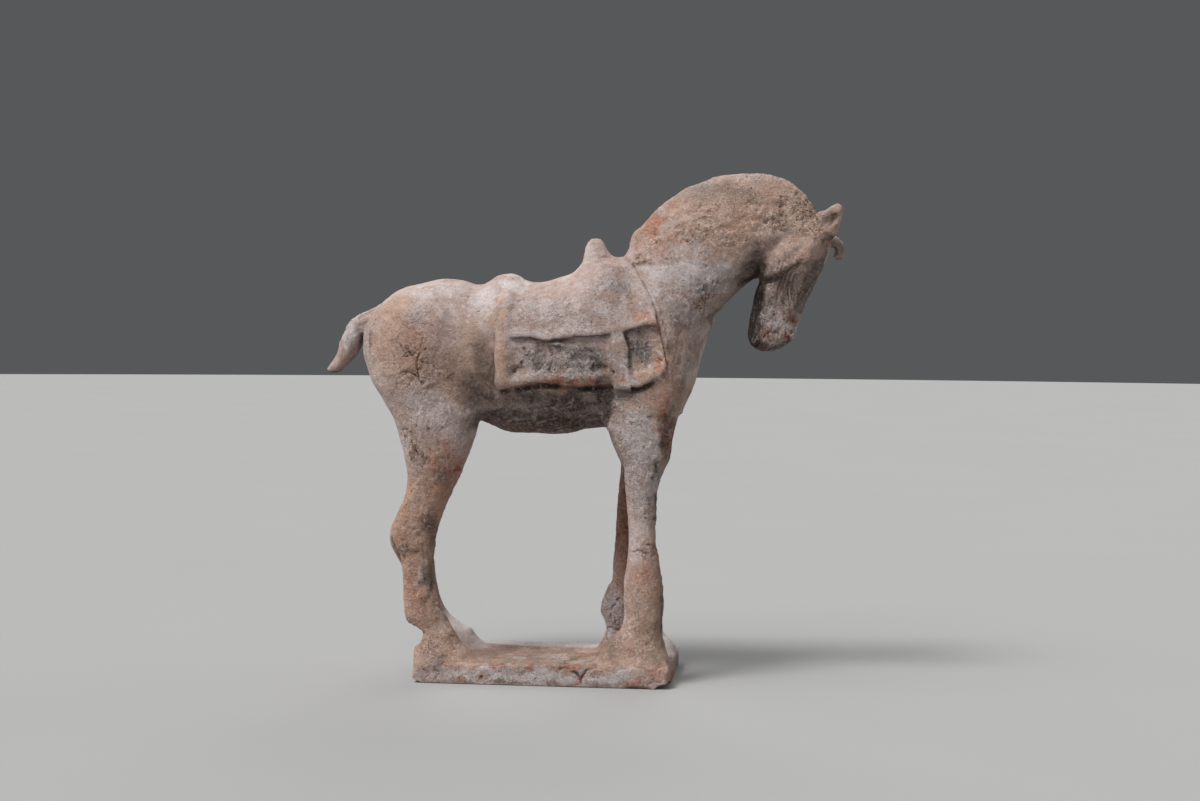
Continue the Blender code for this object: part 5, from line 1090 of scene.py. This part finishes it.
def relief(p, n):
    """How far each surface point moves along its normal, and the masks that the material reads."""
    crust = patch_mask(p, n, CRUST, 601, 2.6, 6.0, 0.55)
    rough = patch_mask(p, n, ROUGH, 611, 4.0, 9.0, 0.6)
    orange = patch_mask(p, n, ORANGE, 621, 3.0, 6.0, 0.85)
    grey = patch_mask(p, n, GREY, 631, 3.5, 8.0, 0.75)
    pale = patch_mask(p, n, PALE, 641, 3.5, 8.0, 0.8)
    cracked = patch_mask(p, n, CRACKED, 651, 3.0, 6.0, 0.5)
    grime_and_shade = patch_mask(p, n, GRIME_AND_SHADE, 661, 3.0, 9.0, 0.7)
    warm = patch_mask(p, n, WARM, 671, 6.0, 18.0, 0.6)
    fibre = patch_mask(p, n, FIBRE, 681, 5.0, 12.0, 0.7)
    coarse = np.clip(rough + 0.4 * crust, 0.0, 1.0)
    in_base = 1.0 - step(p[:, 2], 12.0, 15.0)

    # how closed in and how near an edge each point is: masks for dirt and painted shade in hollows, and for worn edges
    # with painted highlights
    narrow = np.clip(1.0 - sample_field(p + n * 1.5) / 1.5, 0.0, 1.0)
    wide = np.clip(1.0 - sample_field(p + n * 6.5) / 6.5, 0.0, 1.0)
    cavity = np.clip(1.1 * narrow + 0.45 * wide, 0.0, 1.0)
    edge = np.clip(sample_field(p - n * 1.8) / 1.8 + 1.0, 0.0, 1.0)

    move = 0.30 * fbm(p, 24.0, 2, 101) + (0.22 + 0.30 * coarse) * fbm(p, 8.0, 3, 107)
    fine = fbm(p, 4.2, 4, 113, 0.62)
    sand = value_noise(p, 1.7, 127)
    move += (0.16 + 0.58 * coarse) * fine + (0.06 + 0.16 * coarse) * sand
    lumpy = patch_mask(p, n, LUMPY, 691, 5.0, 12.0, 0.6)
    lump = fbm(p * np.array((0.75, 1.0, 1.15), np.float32), 5.2, 3, 193, 0.6)
    move += 0.95 * lumpy * (lump - 0.35 * np.abs(lump))
    # crust: heaped grains with pits between them
    warped = p + 0.7 * np.stack([fine, np.roll(fine, 5), -fine], 1)
    grain_d, grain_r, _ = cells(warped, 2.1, 131)
    heap = np.maximum(0.0, 1.0 - grain_d / 0.60) * (0.25 + 0.75 * grain_r)
    body = step(fbm(p, 7.0, 3, 139, 0.6), -0.45, 0.2)
    move += crust * (0.75 * heap * body + 0.40 * fine + 0.30 * body - 0.25)
    # scattered small pits everywhere, denser on rough clay
    pit_d, pit_r, _ = cells(p + 0.5 * np.stack([sand, fine, -sand], 1), 3.4, 151)
    pit = np.where(pit_r > 0.74 - 0.34 * coarse, 1.0 - step(pit_d, 0.06, 0.14 + 0.16 * pit_r), 0.0)
    move -= 0.42 * pit
    # a net of fine cracks with slightly lifted flakes
    bend = p + 1.6 * np.stack([value_noise(p, 4.0, 171), value_noise(p, 4.0, 173), value_noise(p, 4.0, 175)], 1)
    _, flake, gap = cells(bend, 7.5, 181)
    net = (1.0 - step(gap, 0.015, 0.085)) * step(value_noise(p, 6.0, 187), -0.45, 0.1) * cracked
    move += cracked * (0.26 * (flake - 0.5)) - 0.55 * net
    # worn and chipped edges, most on the base
    worn = step(edge, 0.22, 0.75) * step(fbm(p, 12.0, 3, 191, 0.6), 0.05, 0.5)
    move -= worn * (0.25 + 1.0 * in_base)
    marks, dark = mark_depth(p, MARKS)
    front, front_dark = mark_depth(p, FRONT_LINE, 0.25, 0.35)
    move += mark_depth(p, FRONT_LIP, 0.3, 0.5)[0] - np.maximum(marks, front)
    dark = np.maximum(dark, front_dark)
    dots = np.zeros(len(p), np.float32)
    for s, x, z, r, depth in DOTS:
        idx = np.nonzero((np.abs(p[:, 0] - x) < r * 2) & (np.abs(p[:, 2] - z) < r * 2) & (p[:, 1] * s > 1.0))[0]
        d = np.hypot(p[idx, 0] - x, p[idx, 2] - z)
        dots[idx] = np.maximum(dots[idx], depth * (1.0 - step(d, r * 0.3, r * 1.1)))
    move -= dots
    # the underside stays flat
    move *= step(p[:, 2], 0.3, 1.6)

    low = np.clip(-(fine + 0.5 * sand) - 0.50, 0.0, 1.0) * (0.25 + 0.75 * coarse)
    line = np.clip(dark + net * 0.8 + dots * 0.8 + pit * (0.22 + 0.30 * coarse) + 0.55 * low
                   + crust * np.clip(0.30 - heap * body, 0, 1) * 0.5, 0.0, 1.0)
    # painted shade on all that faces down, and in the shelter of the legs and the belly
    under = step(-n[:, 2], 0.25, 0.95) * step(p[:, 2], 14.0, 30.0)
    under *= 1.0 - 0.8 * step(np.abs(p[:, 1]), 30.0, 34.0) * step(p[:, 2], 170.0, 174.0) * (1.0 - step(p[:, 2], 184.0, 190.0))
    inner = step(n[:, 1] * np.sign(-p[:, 1]), 0.2, 0.9) * step(p[:, 2], 14.0, 30.0) * (1 - step(p[:, 2], 150.0, 190.0))
    inner *= 0.45 + 0.35 * (p[:, 0] < 0.0)
    grime_and_shade = np.clip(np.maximum(grime_and_shade, np.maximum(0.85 * under, inner)) + 0.05 * worn * in_base, 0.0, 2.0)
    grime_and_shade = np.maximum(grime_and_shade, 2.4 * hem_shadow(p))
    orange = np.clip(np.maximum(orange, 0.45 * worn * in_base), 0.0, 2.0)
    # the dish of the base is greyer than its edges
    dish = step(n[:, 2], 0.5, 0.9) * (1.0 - step(p[:, 2], 13.0, 16.0)) * step(p[:, 1], -39.0, -33.0)
    orange = orange * (1.0 - 0.8 * dish)
    # the eye: an oval of bare clay, striped, with a dark edge
    u = ((p[:, 0] - 150.2) * 0.72 + (p[:, 2] - 250.2) * 0.69) / 4.2
    w = ((p[:, 2] - 250.2) * 0.72 - (p[:, 0] - 150.2) * 0.69) / 2.7
    r = np.where(np.abs(p[:, 1]) > 5.0, np.hypot(u, w), 9.0)
    eye = 1.0 - step(r, 0.75, 1.15)
    orange = np.maximum(orange, eye * (0.62 + 0.38 * np.sin(u * 13.0)))
    line = np.maximum(line, 0.55 * np.exp(-((r - 1.22) / 0.16) ** 2))
    grime_and_shade = grime_and_shade * (1.0 - 0.7 * eye)
    streak = patch_mask(p, n, STREAK, 701, 3.0, 8.0, 0.7)
    sweep = patch_mask(p, n, SWEEP, 721, 4.0, 9.0, 0.6)
    # painted light on the far rim and the far feet: they are made paler and the dirt and shade there is lifted
    far_lit = np.maximum(patch_mask(p, n, FAR_LIT, 711, 1.5, 6.0, 0.5) * step(p[:, 1], 6.0, 10.0),
                      step(p[:, 1], 25.0, 32.0) * step(p[:, 2], 8.5, 11.0) * (1.0 - step(p[:, 2], 17.0, 24.0)))
    grime_and_shade = grime_and_shade * (1.0 - 0.85 * far_lit)
    pale = np.maximum(pale, 1.6 * far_lit)
    masks = {"m_sweep": sweep, "m_streak": streak, "m_orange": orange, "m_grey": grey, "m_crust": crust, "m_pale": pale, "m_warm": warm, "m_fibre": fibre,
             "m_cavity": cavity, "m_edge": edge, "m_line": line, "m_grime_and_shade": grime_and_shade, "m_rough": coarse}
    return move, masks


# ------------------------------------------------------------------ the mesh
def horse_mesh():
    build_forms()
    win = tuple(slice(0, int(c)) for c in COUNT)
    z = axes(win)[2]
    FIELD[:] = np.maximum(FIELD, -z)
    points, quads = surface_mesh()
    normals = field_normals(points)
    move, masks = relief(points, normals)
    points = points + normals * move[:, None]
    points[:, 2] = np.maximum(points[:, 2], 0.0)
    mesh = bpy.data.meshes.new("horse")
    mesh.vertices.add(len(points))
    mesh.vertices.foreach_set("co", (points * MM).astype(np.float32).ravel())
    mesh.loops.add(quads.size)
    mesh.loops.foreach_set("vertex_index", quads.astype(np.int32).ravel())
    mesh.polygons.add(len(quads))
    mesh.polygons.foreach_set("loop_start", np.arange(0, quads.size, 4, dtype=np.int32))
    for name, values in masks.items():
        mesh.attributes.new(name, "FLOAT", "POINT").data.foreach_set("value", values.astype(np.float32))
    mesh.update(calc_edges=True)
    mesh.validate()
    return mesh


def drop_crumbs(mesh):
    """Welds points that fell together and drops every crumb that hangs free of the body."""
    bm = bmesh.new()
    bm.from_mesh(mesh)
    bmesh.ops.remove_doubles(bm, verts=bm.verts, dist=1e-7)
    bm.verts.index_update()
    seen = [False] * len(bm.verts)
    islands = []
    for start in bm.verts:
        if seen[start.index]:
            continue
        seen[start.index] = True
        island = [start]
        for vert in island:
            for edge in vert.link_edges:
                other = edge.other_vert(vert)
                if not seen[other.index]:
                    seen[other.index] = True
                    island.append(other)
        islands.append(island)
    islands.sort(key=len)
    crumbs = [vert for island in islands[:-1] for vert in island]
    bmesh.ops.delete(bm, geom=crumbs, context="VERTS")
    bm.to_mesh(mesh)
    bm.free()


def reduced(obj, triangles):
    obj.data.calc_loop_triangles()
    mod = obj.modifiers.new("reduce", "DECIMATE")
    mod.ratio = min(1.0, triangles / len(obj.data.loop_triangles))
    mod.use_collapse_triangulate = True
    graph = bpy.context.evaluated_depsgraph_get()
    mesh = bpy.data.meshes.new_from_object(obj.evaluated_get(graph), preserve_all_data_layers=True, depsgraph=graph)
    obj.modifiers.clear()
    old, obj.data = obj.data, mesh
    bpy.data.meshes.remove(old)
    drop_crumbs(mesh)
    mesh.polygons.foreach_set("use_smooth", np.ones(len(mesh.polygons), bool))
    mesh.update()


# ------------------------------------------------------------------ material
class Nodes:
    """Small helper for wiring a material."""

    def __init__(self, name):
        self.mat = bpy.data.materials.new(name)
        self.mat.use_nodes = True
        self.tree = self.mat.node_tree
        self.shader = self.tree.nodes["Principled BSDF"]

    def new(self, kind, **settings):
        node = self.tree.nodes.new(kind)
        for key, value in settings.items():
            setattr(node, key, value)
        return node

    def put(self, socket, value):
        if isinstance(value, bpy.types.NodeSocket):
            self.tree.links.new(value, socket)
        elif isinstance(value, (tuple, list)) and len(value) == 3 and socket.type == "RGBA":
            socket.default_value = (*value, 1.0)
        else:
            socket.default_value = value

    def math(self, op, a, b=0.0, c=0.0, clamp=False):
        node = self.new("ShaderNodeMath", operation=op, use_clamp=clamp)
        for socket, value in zip(node.inputs, (a, b, c)):
            self.put(socket, value)
        return node.outputs[0]

    def mix(self, fac, a, b, blend="MIX"):
        node = self.new("ShaderNodeMix", data_type="RGBA", blend_type=blend)
        self.put(node.inputs[0], fac)
        self.put(node.inputs[6], a)
        self.put(node.inputs[7], b)
        return node.outputs[2]

    def noise(self, vector, scale, detail=3.0, rough=0.55, warp=0.0, lac=2.0):
        node = self.new("ShaderNodeTexNoise")
        self.put(node.inputs["Vector"], vector)
        node.inputs["Scale"].default_value = scale
        node.inputs["Detail"].default_value = detail
        node.inputs["Roughness"].default_value = rough
        node.inputs["Lacunarity"].default_value = lac
        node.inputs["Distortion"].default_value = warp
        return node.outputs["Fac"]

    def voronoi(self, vector, scale, feature="F1", random=1.0):
        node = self.new("ShaderNodeTexVoronoi", feature=feature)
        self.put(node.inputs["Vector"], vector)
        node.inputs["Scale"].default_value = scale
        node.inputs["Randomness"].default_value = random
        return node

    def ramp(self, value, low, high):
        """0 below low and 1 above high, smoothly."""
        node = self.new("ShaderNodeMapRange", interpolation_type="SMOOTHSTEP")
        self.put(node.inputs["Value"], value)
        node.inputs["From Min"].default_value = low
        node.inputs["From Max"].default_value = high
        return node.outputs["Result"]

    def attribute(self, name):
        return self.new("ShaderNodeAttribute", attribute_name=name, attribute_type="GEOMETRY").outputs["Fac"]

    def patchy(self, mask, grain, low=0.42, high=0.62, share=0.55):
        """A soft mask broken up by grain into a natural edge."""
        mixed = self.math("MULTIPLY_ADD", mask, 1.0 - share + 0.35, self.math("MULTIPLY", grain, share))
        mixed = self.math("SUBTRACT", mixed, share * 0.5 - 0.02)
        out = self.ramp(mixed, low, high)
        return self.math("MULTIPLY", out, self.ramp(mask, 0.02, 0.30))


def srgb(r, g, b):
    def lin(c):
        c = c / 255.0
        return c / 12.92 if c <= 0.04045 else ((c + 0.055) / 1.055) ** 2.4
    return (lin(r), lin(g), lin(b))


def clay_material():
    n = Nodes("terracotta_clay")
    where = n.new("ShaderNodeTexCoord").outputs["Object"]
    big = n.noise(where, 36.0, 3.0, 0.55, 0.3)            # broad variation, some 25 mm
    mid = n.noise(where, 140.0, 5.0, 0.65, 0.6)           # blotches of 6 mm, frayed
    small = n.noise(where, 520.0, 5.0, 0.72, 0.4)         # mottling of 1 to 2 mm
    grit = n.noise(where, 1150.0, 3.0, 0.75)              # sand in the clay
    bend = n.new("ShaderNodeTexNoise")
    n.put(bend.inputs["Vector"], where)
    bend.inputs["Scale"].default_value = 240.0
    bend.inputs["Detail"].default_value = 3.0
    bent = n.new("ShaderNodeVectorMath", operation="MULTIPLY_ADD")
    n.put(bent.inputs[0], bend.outputs["Color"])
    bent.inputs[1].default_value = (0.0035, 0.0035, 0.0035)
    n.put(bent.inputs[2], where)
    bent = bent.outputs["Vector"]
    pock = n.voronoi(bent, 290.0)                         # dark pocks of about a millimetre
    speck = n.voronoi(bent, 560.0)                        # fine dark specks
    chalk = n.voronoi(bent, 430.0)                        # chalk flecks

    warp = n.new("ShaderNodeTexNoise")
    n.put(warp.inputs["Vector"], where)
    warp.inputs["Scale"].default_value = 55.0
    warp.inputs["Detail"].default_value = 2.0
    curved = n.new("ShaderNodeVectorMath", operation="MULTIPLY_ADD")
    n.put(curved.inputs[0], warp.outputs["Color"])
    curved.inputs[1].default_value = (0.014, 0.014, 0.014)
    n.put(curved.inputs[2], where)

    def scratch(turn, length, width, low, high):
        """Short, slightly curved strokes: a noise stretched along one direction of the side view."""
        lay = n.new("ShaderNodeMapping", vector_type="TEXTURE")
        n.put(lay.inputs["Vector"], curved.outputs["Vector"])
        lay.inputs["Rotation"].default_value = (0.0, math.radians(turn), 0.0)
        lay.inputs["Scale"].default_value = (length, 0.004, width)
        return n.ramp(n.noise(lay.outputs["Vector"], 1.0, 2.0, 0.5), low, high)

    strokes = n.math("MAXIMUM", scratch(24.0, 0.0085, 0.0013, 0.60, 0.70), scratch(-62.0, 0.0070, 0.0012, 0.62, 0.72))
    strokes = n.math("MAXIMUM", strokes, scratch(78.0, 0.0065, 0.0011, 0.63, 0.72))
    nicks = scratch(-20.0, 0.0060, 0.0013, 0.66, 0.74)

    def dragged(turn, length, width):
        """Streaks of slip and dirt, drawn out along one direction of the side view."""
        lay = n.new("ShaderNodeMapping", vector_type="TEXTURE")
        n.put(lay.inputs["Vector"], curved.outputs["Vector"])
        lay.inputs["Rotation"].default_value = (0.0, math.radians(turn), 0.0)
        lay.inputs["Scale"].default_value = (length, 0.004, width)
        return n.noise(lay.outputs["Vector"], 1.0, 4.0, 0.65)

    drag = dragged(-74.0, 0.0100, 0.0016)
    sweep = dragged(-24.0, 0.0120, 0.0018)

    orange, grey = n.attribute("m_orange"), n.attribute("m_grey")
    crust, pale = n.attribute("m_crust"), n.attribute("m_pale")
    cavity, edge = n.attribute("m_cavity"), n.attribute("m_edge")
    line, rough, grime_and_shade = n.attribute("m_line"), n.attribute("m_rough"), n.attribute("m_grime_and_shade")
    warm, fibre = n.attribute("m_warm"), n.attribute("m_fibre")

    # pale pinkish slip, thinner and more tan in the warm areas
    cool = n.mix(n.ramp(big, 0.35, 0.65), srgb(194, 174, 167), srgb(208, 191, 187))
    tan = n.mix(n.ramp(big, 0.35, 0.65), srgb(190, 156, 137), srgb(206, 177, 160))
    soft = n.math("MULTIPLY_ADD", n.math("SUBTRACT", mid, 0.5), 1.3, warm)
    colour = n.mix(n.ramp(soft, 0.10, 0.90), cool, tan)
    colour = n.mix(n.math("MULTIPLY", n.ramp(mid, 0.56, 0.40), 0.50), colour, srgb(184, 146, 126))
    # burnt orange clay where the slip is gone
    blush = n.math("MULTIPLY_ADD", n.math("SUBTRACT", mid, 0.5), 1.1, orange)
    colour = n.mix(n.math("MULTIPLY", n.math("MULTIPLY", n.ramp(blush, 0.05, 0.95), n.ramp(orange, 0.0, 0.25)), 0.62), colour, srgb(190, 141, 119))
    colour = n.mix(n.math("MULTIPLY", n.patchy(orange, small, 0.36, 0.84), 0.76), colour, n.mix(n.ramp(small, 0.35, 0.62), srgb(162, 98, 74), srgb(206, 148, 122)))
    red = n.ramp(n.math("MULTIPLY_ADD", n.math("SUBTRACT", small, 0.5), 1.0, orange), 0.90, 1.30)
    colour = n.mix(n.math("MULTIPLY", red, 0.80), colour, srgb(136, 80, 70))
    # grey soot and soil
    grey_tone = n.mix(n.ramp(small, 0.36, 0.62), srgb(76, 70, 68), srgb(152, 145, 142))
    colour = n.mix(n.math("MULTIPLY", n.patchy(grey, small, 0.26, 0.70), 0.80), colour, grey_tone)
    # brown earth crust
    crust_tone = n.mix(n.ramp(small, 0.34, 0.62), srgb(156, 120, 101), srgb(212, 182, 165))
    colour = n.mix(n.math("MULTIPLY", n.patchy(crust, small, 0.32, 0.62), 0.85), colour, crust_tone)
    # chalky deposit, and painted light where the pale patches stand for lit tops and the far feet; above 1 the mask
    # brightens further
    colour = n.mix(n.math("MULTIPLY", n.patchy(pale, small, 0.32, 0.80), 0.80), colour, srgb(216, 204, 202))
    colour = n.mix(n.math("MULTIPLY", n.ramp(pale, 1.0, 1.6), 0.75), colour, srgb(232, 219, 213))
    # ground-in dirt and painted shade; where the mask passes 1 it paints the near-black shadow under the hem and at
    # the throat
    dark_dirt_and_shade = n.ramp(n.math("MULTIPLY_ADD", n.math("SUBTRACT", mid, 0.5), 0.7, grime_and_shade), 0.08, 0.92)
    colour = n.mix(n.math("MULTIPLY", dark_dirt_and_shade, 0.86), colour, n.mix(n.ramp(small, 0.38, 0.64), srgb(48, 39, 34), srgb(108, 92, 83)))
    colour = n.mix(n.math("MULTIPLY", n.ramp(grime_and_shade, 1.0, 1.7), 0.85), colour, srgb(40, 31, 27))
    # mottling: the same clay darker and lighter, stronger where it is coarse
    tone = n.math("ADD", n.math("MULTIPLY", n.math("SUBTRACT", small, 0.5), 1.5), n.math("MULTIPLY", n.math("SUBTRACT", grit, 0.5), 1.7))
    tone = n.math("ADD", tone, n.math("MULTIPLY", n.math("SUBTRACT", mid, 0.5), 0.7))
    tone = n.math("MULTIPLY", tone, n.math("MULTIPLY_ADD", rough, 0.85, 0.50))
    tone = n.math("MAXIMUM", tone, n.math("MULTIPLY", tone, 0.72))
    shade = n.new("ShaderNodeHueSaturation")
    n.put(shade.inputs["Value"], n.math("ADD", tone, 1.0))
    n.put(shade.inputs["Color"], colour)
    colour = shade.outputs["Color"]
    # dark pocks and specks, chalk flecks, pale strokes
    dens = n.math("MULTIPLY", rough, 0.28)
    dots = n.math("MULTIPLY", n.ramp(pock.outputs["Distance"], 0.26, 0.14),
                  n.ramp(n.math("ADD", pock.outputs["Color"], dens), 0.92, 1.02))
    dots = n.math("MAXIMUM", dots, n.math("MULTIPLY", n.ramp(speck.outputs["Distance"], 0.34, 0.18),
                  n.ramp(n.math("ADD", speck.outputs["Color"], dens), 0.86, 1.02)))
    dots = n.math("MAXIMUM", dots, n.math("MULTIPLY", nicks, n.math("MULTIPLY_ADD", rough, 0.45, 0.12)))
    colour = n.mix(n.math("MULTIPLY", dots, 0.70), colour, srgb(74, 58, 51))
    flecks = n.math("MULTIPLY", n.ramp(chalk.outputs["Distance"], 0.34, 0.20),
                    n.ramp(n.math("ADD", chalk.outputs["Color"], n.math("MULTIPLY", fibre, 0.30)), 0.84, 0.94))
    strokes = n.math("MULTIPLY", strokes, n.math("MULTIPLY_ADD", fibre, 0.60, 0.07))
    strokes = n.math("MAXIMUM", strokes, n.math("MULTIPLY", flecks, 0.60))
    colour = n.mix(n.math("MULTIPLY", strokes, n.math("MULTIPLY_ADD", dark_dirt_and_shade, -0.55, 1.0)), colour, srgb(232, 223, 219))
    # worn edges are paler, and this also paints highlights along the edges; the darkening in hollows, cracks and under
    # edges is dirt and painted shade
    colour = n.mix(n.math("MULTIPLY", n.ramp(n.math("ADD", edge, n.math("MULTIPLY", mid, 0.3)), 0.30, 0.62), 0.30),
                   colour, srgb(220, 207, 202))
    dirt = n.ramp(n.math("ADD", cavity, n.math("MULTIPLY", n.math("SUBTRACT", small, 0.5), 0.6)), 0.22, 0.95)
    colour = n.mix(n.math("MULTIPLY", dirt, 0.58), colour, srgb(84, 58, 46))
    colour = n.mix(n.math("MULTIPLY", n.ramp(line, 0.08, 1.05), 0.70), colour, srgb(86, 52, 40))
    streak = n.attribute("m_streak")
    colour = n.mix(n.math("MULTIPLY", n.math("MULTIPLY", n.ramp(drag, 0.49, 0.36), streak), 0.66), colour, srgb(64, 47, 40))
    colour = n.mix(n.math("MULTIPLY", n.math("MULTIPLY", n.ramp(drag, 0.53, 0.64), streak), 0.70), colour, srgb(214, 196, 188))
    swept = n.attribute("m_sweep")
    colour = n.mix(n.math("MULTIPLY", n.math("MULTIPLY", n.ramp(sweep, 0.48, 0.36), swept), 0.55), colour, srgb(66, 50, 43))
    colour = n.mix(n.math("MULTIPLY", n.math("MULTIPLY", n.ramp(sweep, 0.53, 0.64), swept), 0.60), colour, srgb(206, 190, 182))
    n.put(n.shader.inputs["Base Color"], colour)
    n.put(n.shader.inputs["Roughness"], n.math("MULTIPLY_ADD", small, 0.16, 0.78, clamp=True))
    n.shader.inputs["Specular IOR Level"].default_value = 0.20
    height = n.math("MULTIPLY", small, 0.65)
    height = n.math("ADD", height, n.math("MULTIPLY", grit, 0.40))
    height = n.math("SUBTRACT", height, n.math("MULTIPLY", dots, 0.20))
    height = n.math("ADD", height, n.math("MULTIPLY", strokes, 0.10))
    height = n.math("ADD", height, n.math("MULTIPLY", n.math("MULTIPLY", drag, streak), 0.9))
    height = n.math("ADD", height, n.math("MULTIPLY", n.math("MULTIPLY", sweep, swept), 0.8))
    height = n.math("MULTIPLY", height, n.math("MULTIPLY_ADD", rough, 2.7, 1.5))
    bump = n.new("ShaderNodeBump")
    bump.inputs["Strength"].default_value = 1.0
    bump.inputs["Distance"].default_value = 0.0012
    n.put(bump.inputs["Height"], height)
    n.put(n.shader.inputs["Normal"], bump.outputs["Normal"])
    return n.mat


def floor_material():
    n = Nodes("studio_floor")
    where = n.new("ShaderNodeTexCoord").outputs["Object"]
    tone = n.noise(where, 3.0, 4.0, 0.5)
    colour = n.mix(n.ramp(tone, 0.3, 0.7), (0.366, 0.364, 0.360), (0.374, 0.372, 0.368))
    n.put(n.shader.inputs["Base Color"], colour)
    n.shader.inputs["Roughness"].default_value = 0.9
    return n.mat


# ------------------------------------------------------------------ studio
def aim(obj, target):
    obj.rotation_euler = (Vector(target) - obj.location).to_track_quat("-Z", "Y").to_euler()


def area_light(name, place, target, size, power, colour=(1.0, 1.0, 1.0), size_y=None):
    data = bpy.data.lights.new(name, "AREA")
    data.energy, data.size, data.color = power, size, colour
    if size_y:
        data.shape, data.size_y = "RECTANGLE", size_y
    obj = bpy.data.objects.new(name, data)
    obj.location = place
    bpy.context.scene.collection.objects.link(obj)
    aim(obj, target)


def sun_light(name, toward, angle, power, colour):
    """Light from the direction `toward`, as soft as a panel that spans `angle` degrees."""
    data = bpy.data.lights.new(name, "SUN")
    data.energy, data.angle, data.color = power, math.radians(angle), colour
    obj = bpy.data.objects.new(name, data)
    obj.location = toward
    bpy.context.scene.collection.objects.link(obj)
    aim(obj, (0.0, 0.0, 0.0))


def studio():
    scene = bpy.context.scene
    scene.view_settings.view_transform = "Standard"
    bm = bmesh.new()
    bmesh.ops.create_circle(bm, cap_ends=True, segments=96, radius=9.0)
    mesh = bpy.data.meshes.new("studio_floor")
    bm.to_mesh(mesh)
    bm.free()
    mesh.materials.append(floor_material())
    floor = bpy.data.objects.new("studio_floor", mesh)
    scene.collection.objects.link(floor)
    world = bpy.data.worlds.new("studio")
    world.use_nodes = True
    world.node_tree.nodes["Background"].inputs["Color"].default_value = (0.96, 0.98, 1.0, 1.0)
    world.node_tree.nodes["Background"].inputs["Strength"].default_value = 0.10
    scene.world = world
    sun_light("softbox_over_camera", (-1.00, -1.08, 2.50), 18.0, 2.12, (1.0, 1.0, 1.0))
    sun_light("softbox_wide", (-1.20, -1.05, 2.30), 60.0, 1.46, (1.0, 1.0, 1.0))
    sun_light("softbox_back_right", (0.90, 0.75, 0.50), 40.0, 0.30, (1.0, 1.0, 1.0))
    sun_light("softbox_right", (0.60, 0.05, 0.90), 40.0, 0.08, (1.0, 1.0, 1.0))
    sun_light("softbox_behind", (0.05, 0.85, 0.70), 30.0, 0.62, (1.0, 1.0, 1.0))
    sun_light("softbox_back_left", (-0.90, 0.45, 0.40), 40.0, 0.36, (1.0, 1.0, 1.0))

    turn, pitch, roll = 0.1137, math.atan(60.5 / 1854.2), 0.0081
    ahead = Vector((-math.sin(turn) * math.cos(pitch), math.cos(turn) * math.cos(pitch), -math.sin(pitch)))
    right = Vector((math.cos(turn), math.sin(turn), 0.0))
    above = right.cross(ahead)
    c, s = math.cos(roll), math.sin(roll)
    data = bpy.data.cameras.new("camera")
    data.sensor_width = 36.0
    data.lens = 1854.17 / 1200.0 * 36.0
    camera = bpy.data.objects.new("camera", data)
    x_axis, y_axis = right * c + above * s, above * c - right * s
    rot = Matrix((x_axis, y_axis, -ahead)).transposed()
    camera.matrix_world = Matrix.Translation((0.1553, -1.1028, 0.2012)) @ rot.to_4x4()
    scene.collection.objects.link(camera)
    scene.camera = camera


# ------------------------------------------------------------------ assemble
def main():
    horse = bpy.data.objects.new("terracotta_horse_clay", horse_mesh())
    bpy.context.scene.collection.objects.link(horse)
    reduced(horse, TRIANGLES)
    horse.data.materials.append(clay_material())
    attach(horse, "root")
    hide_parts("terracotta_horse")
    studio()


main()
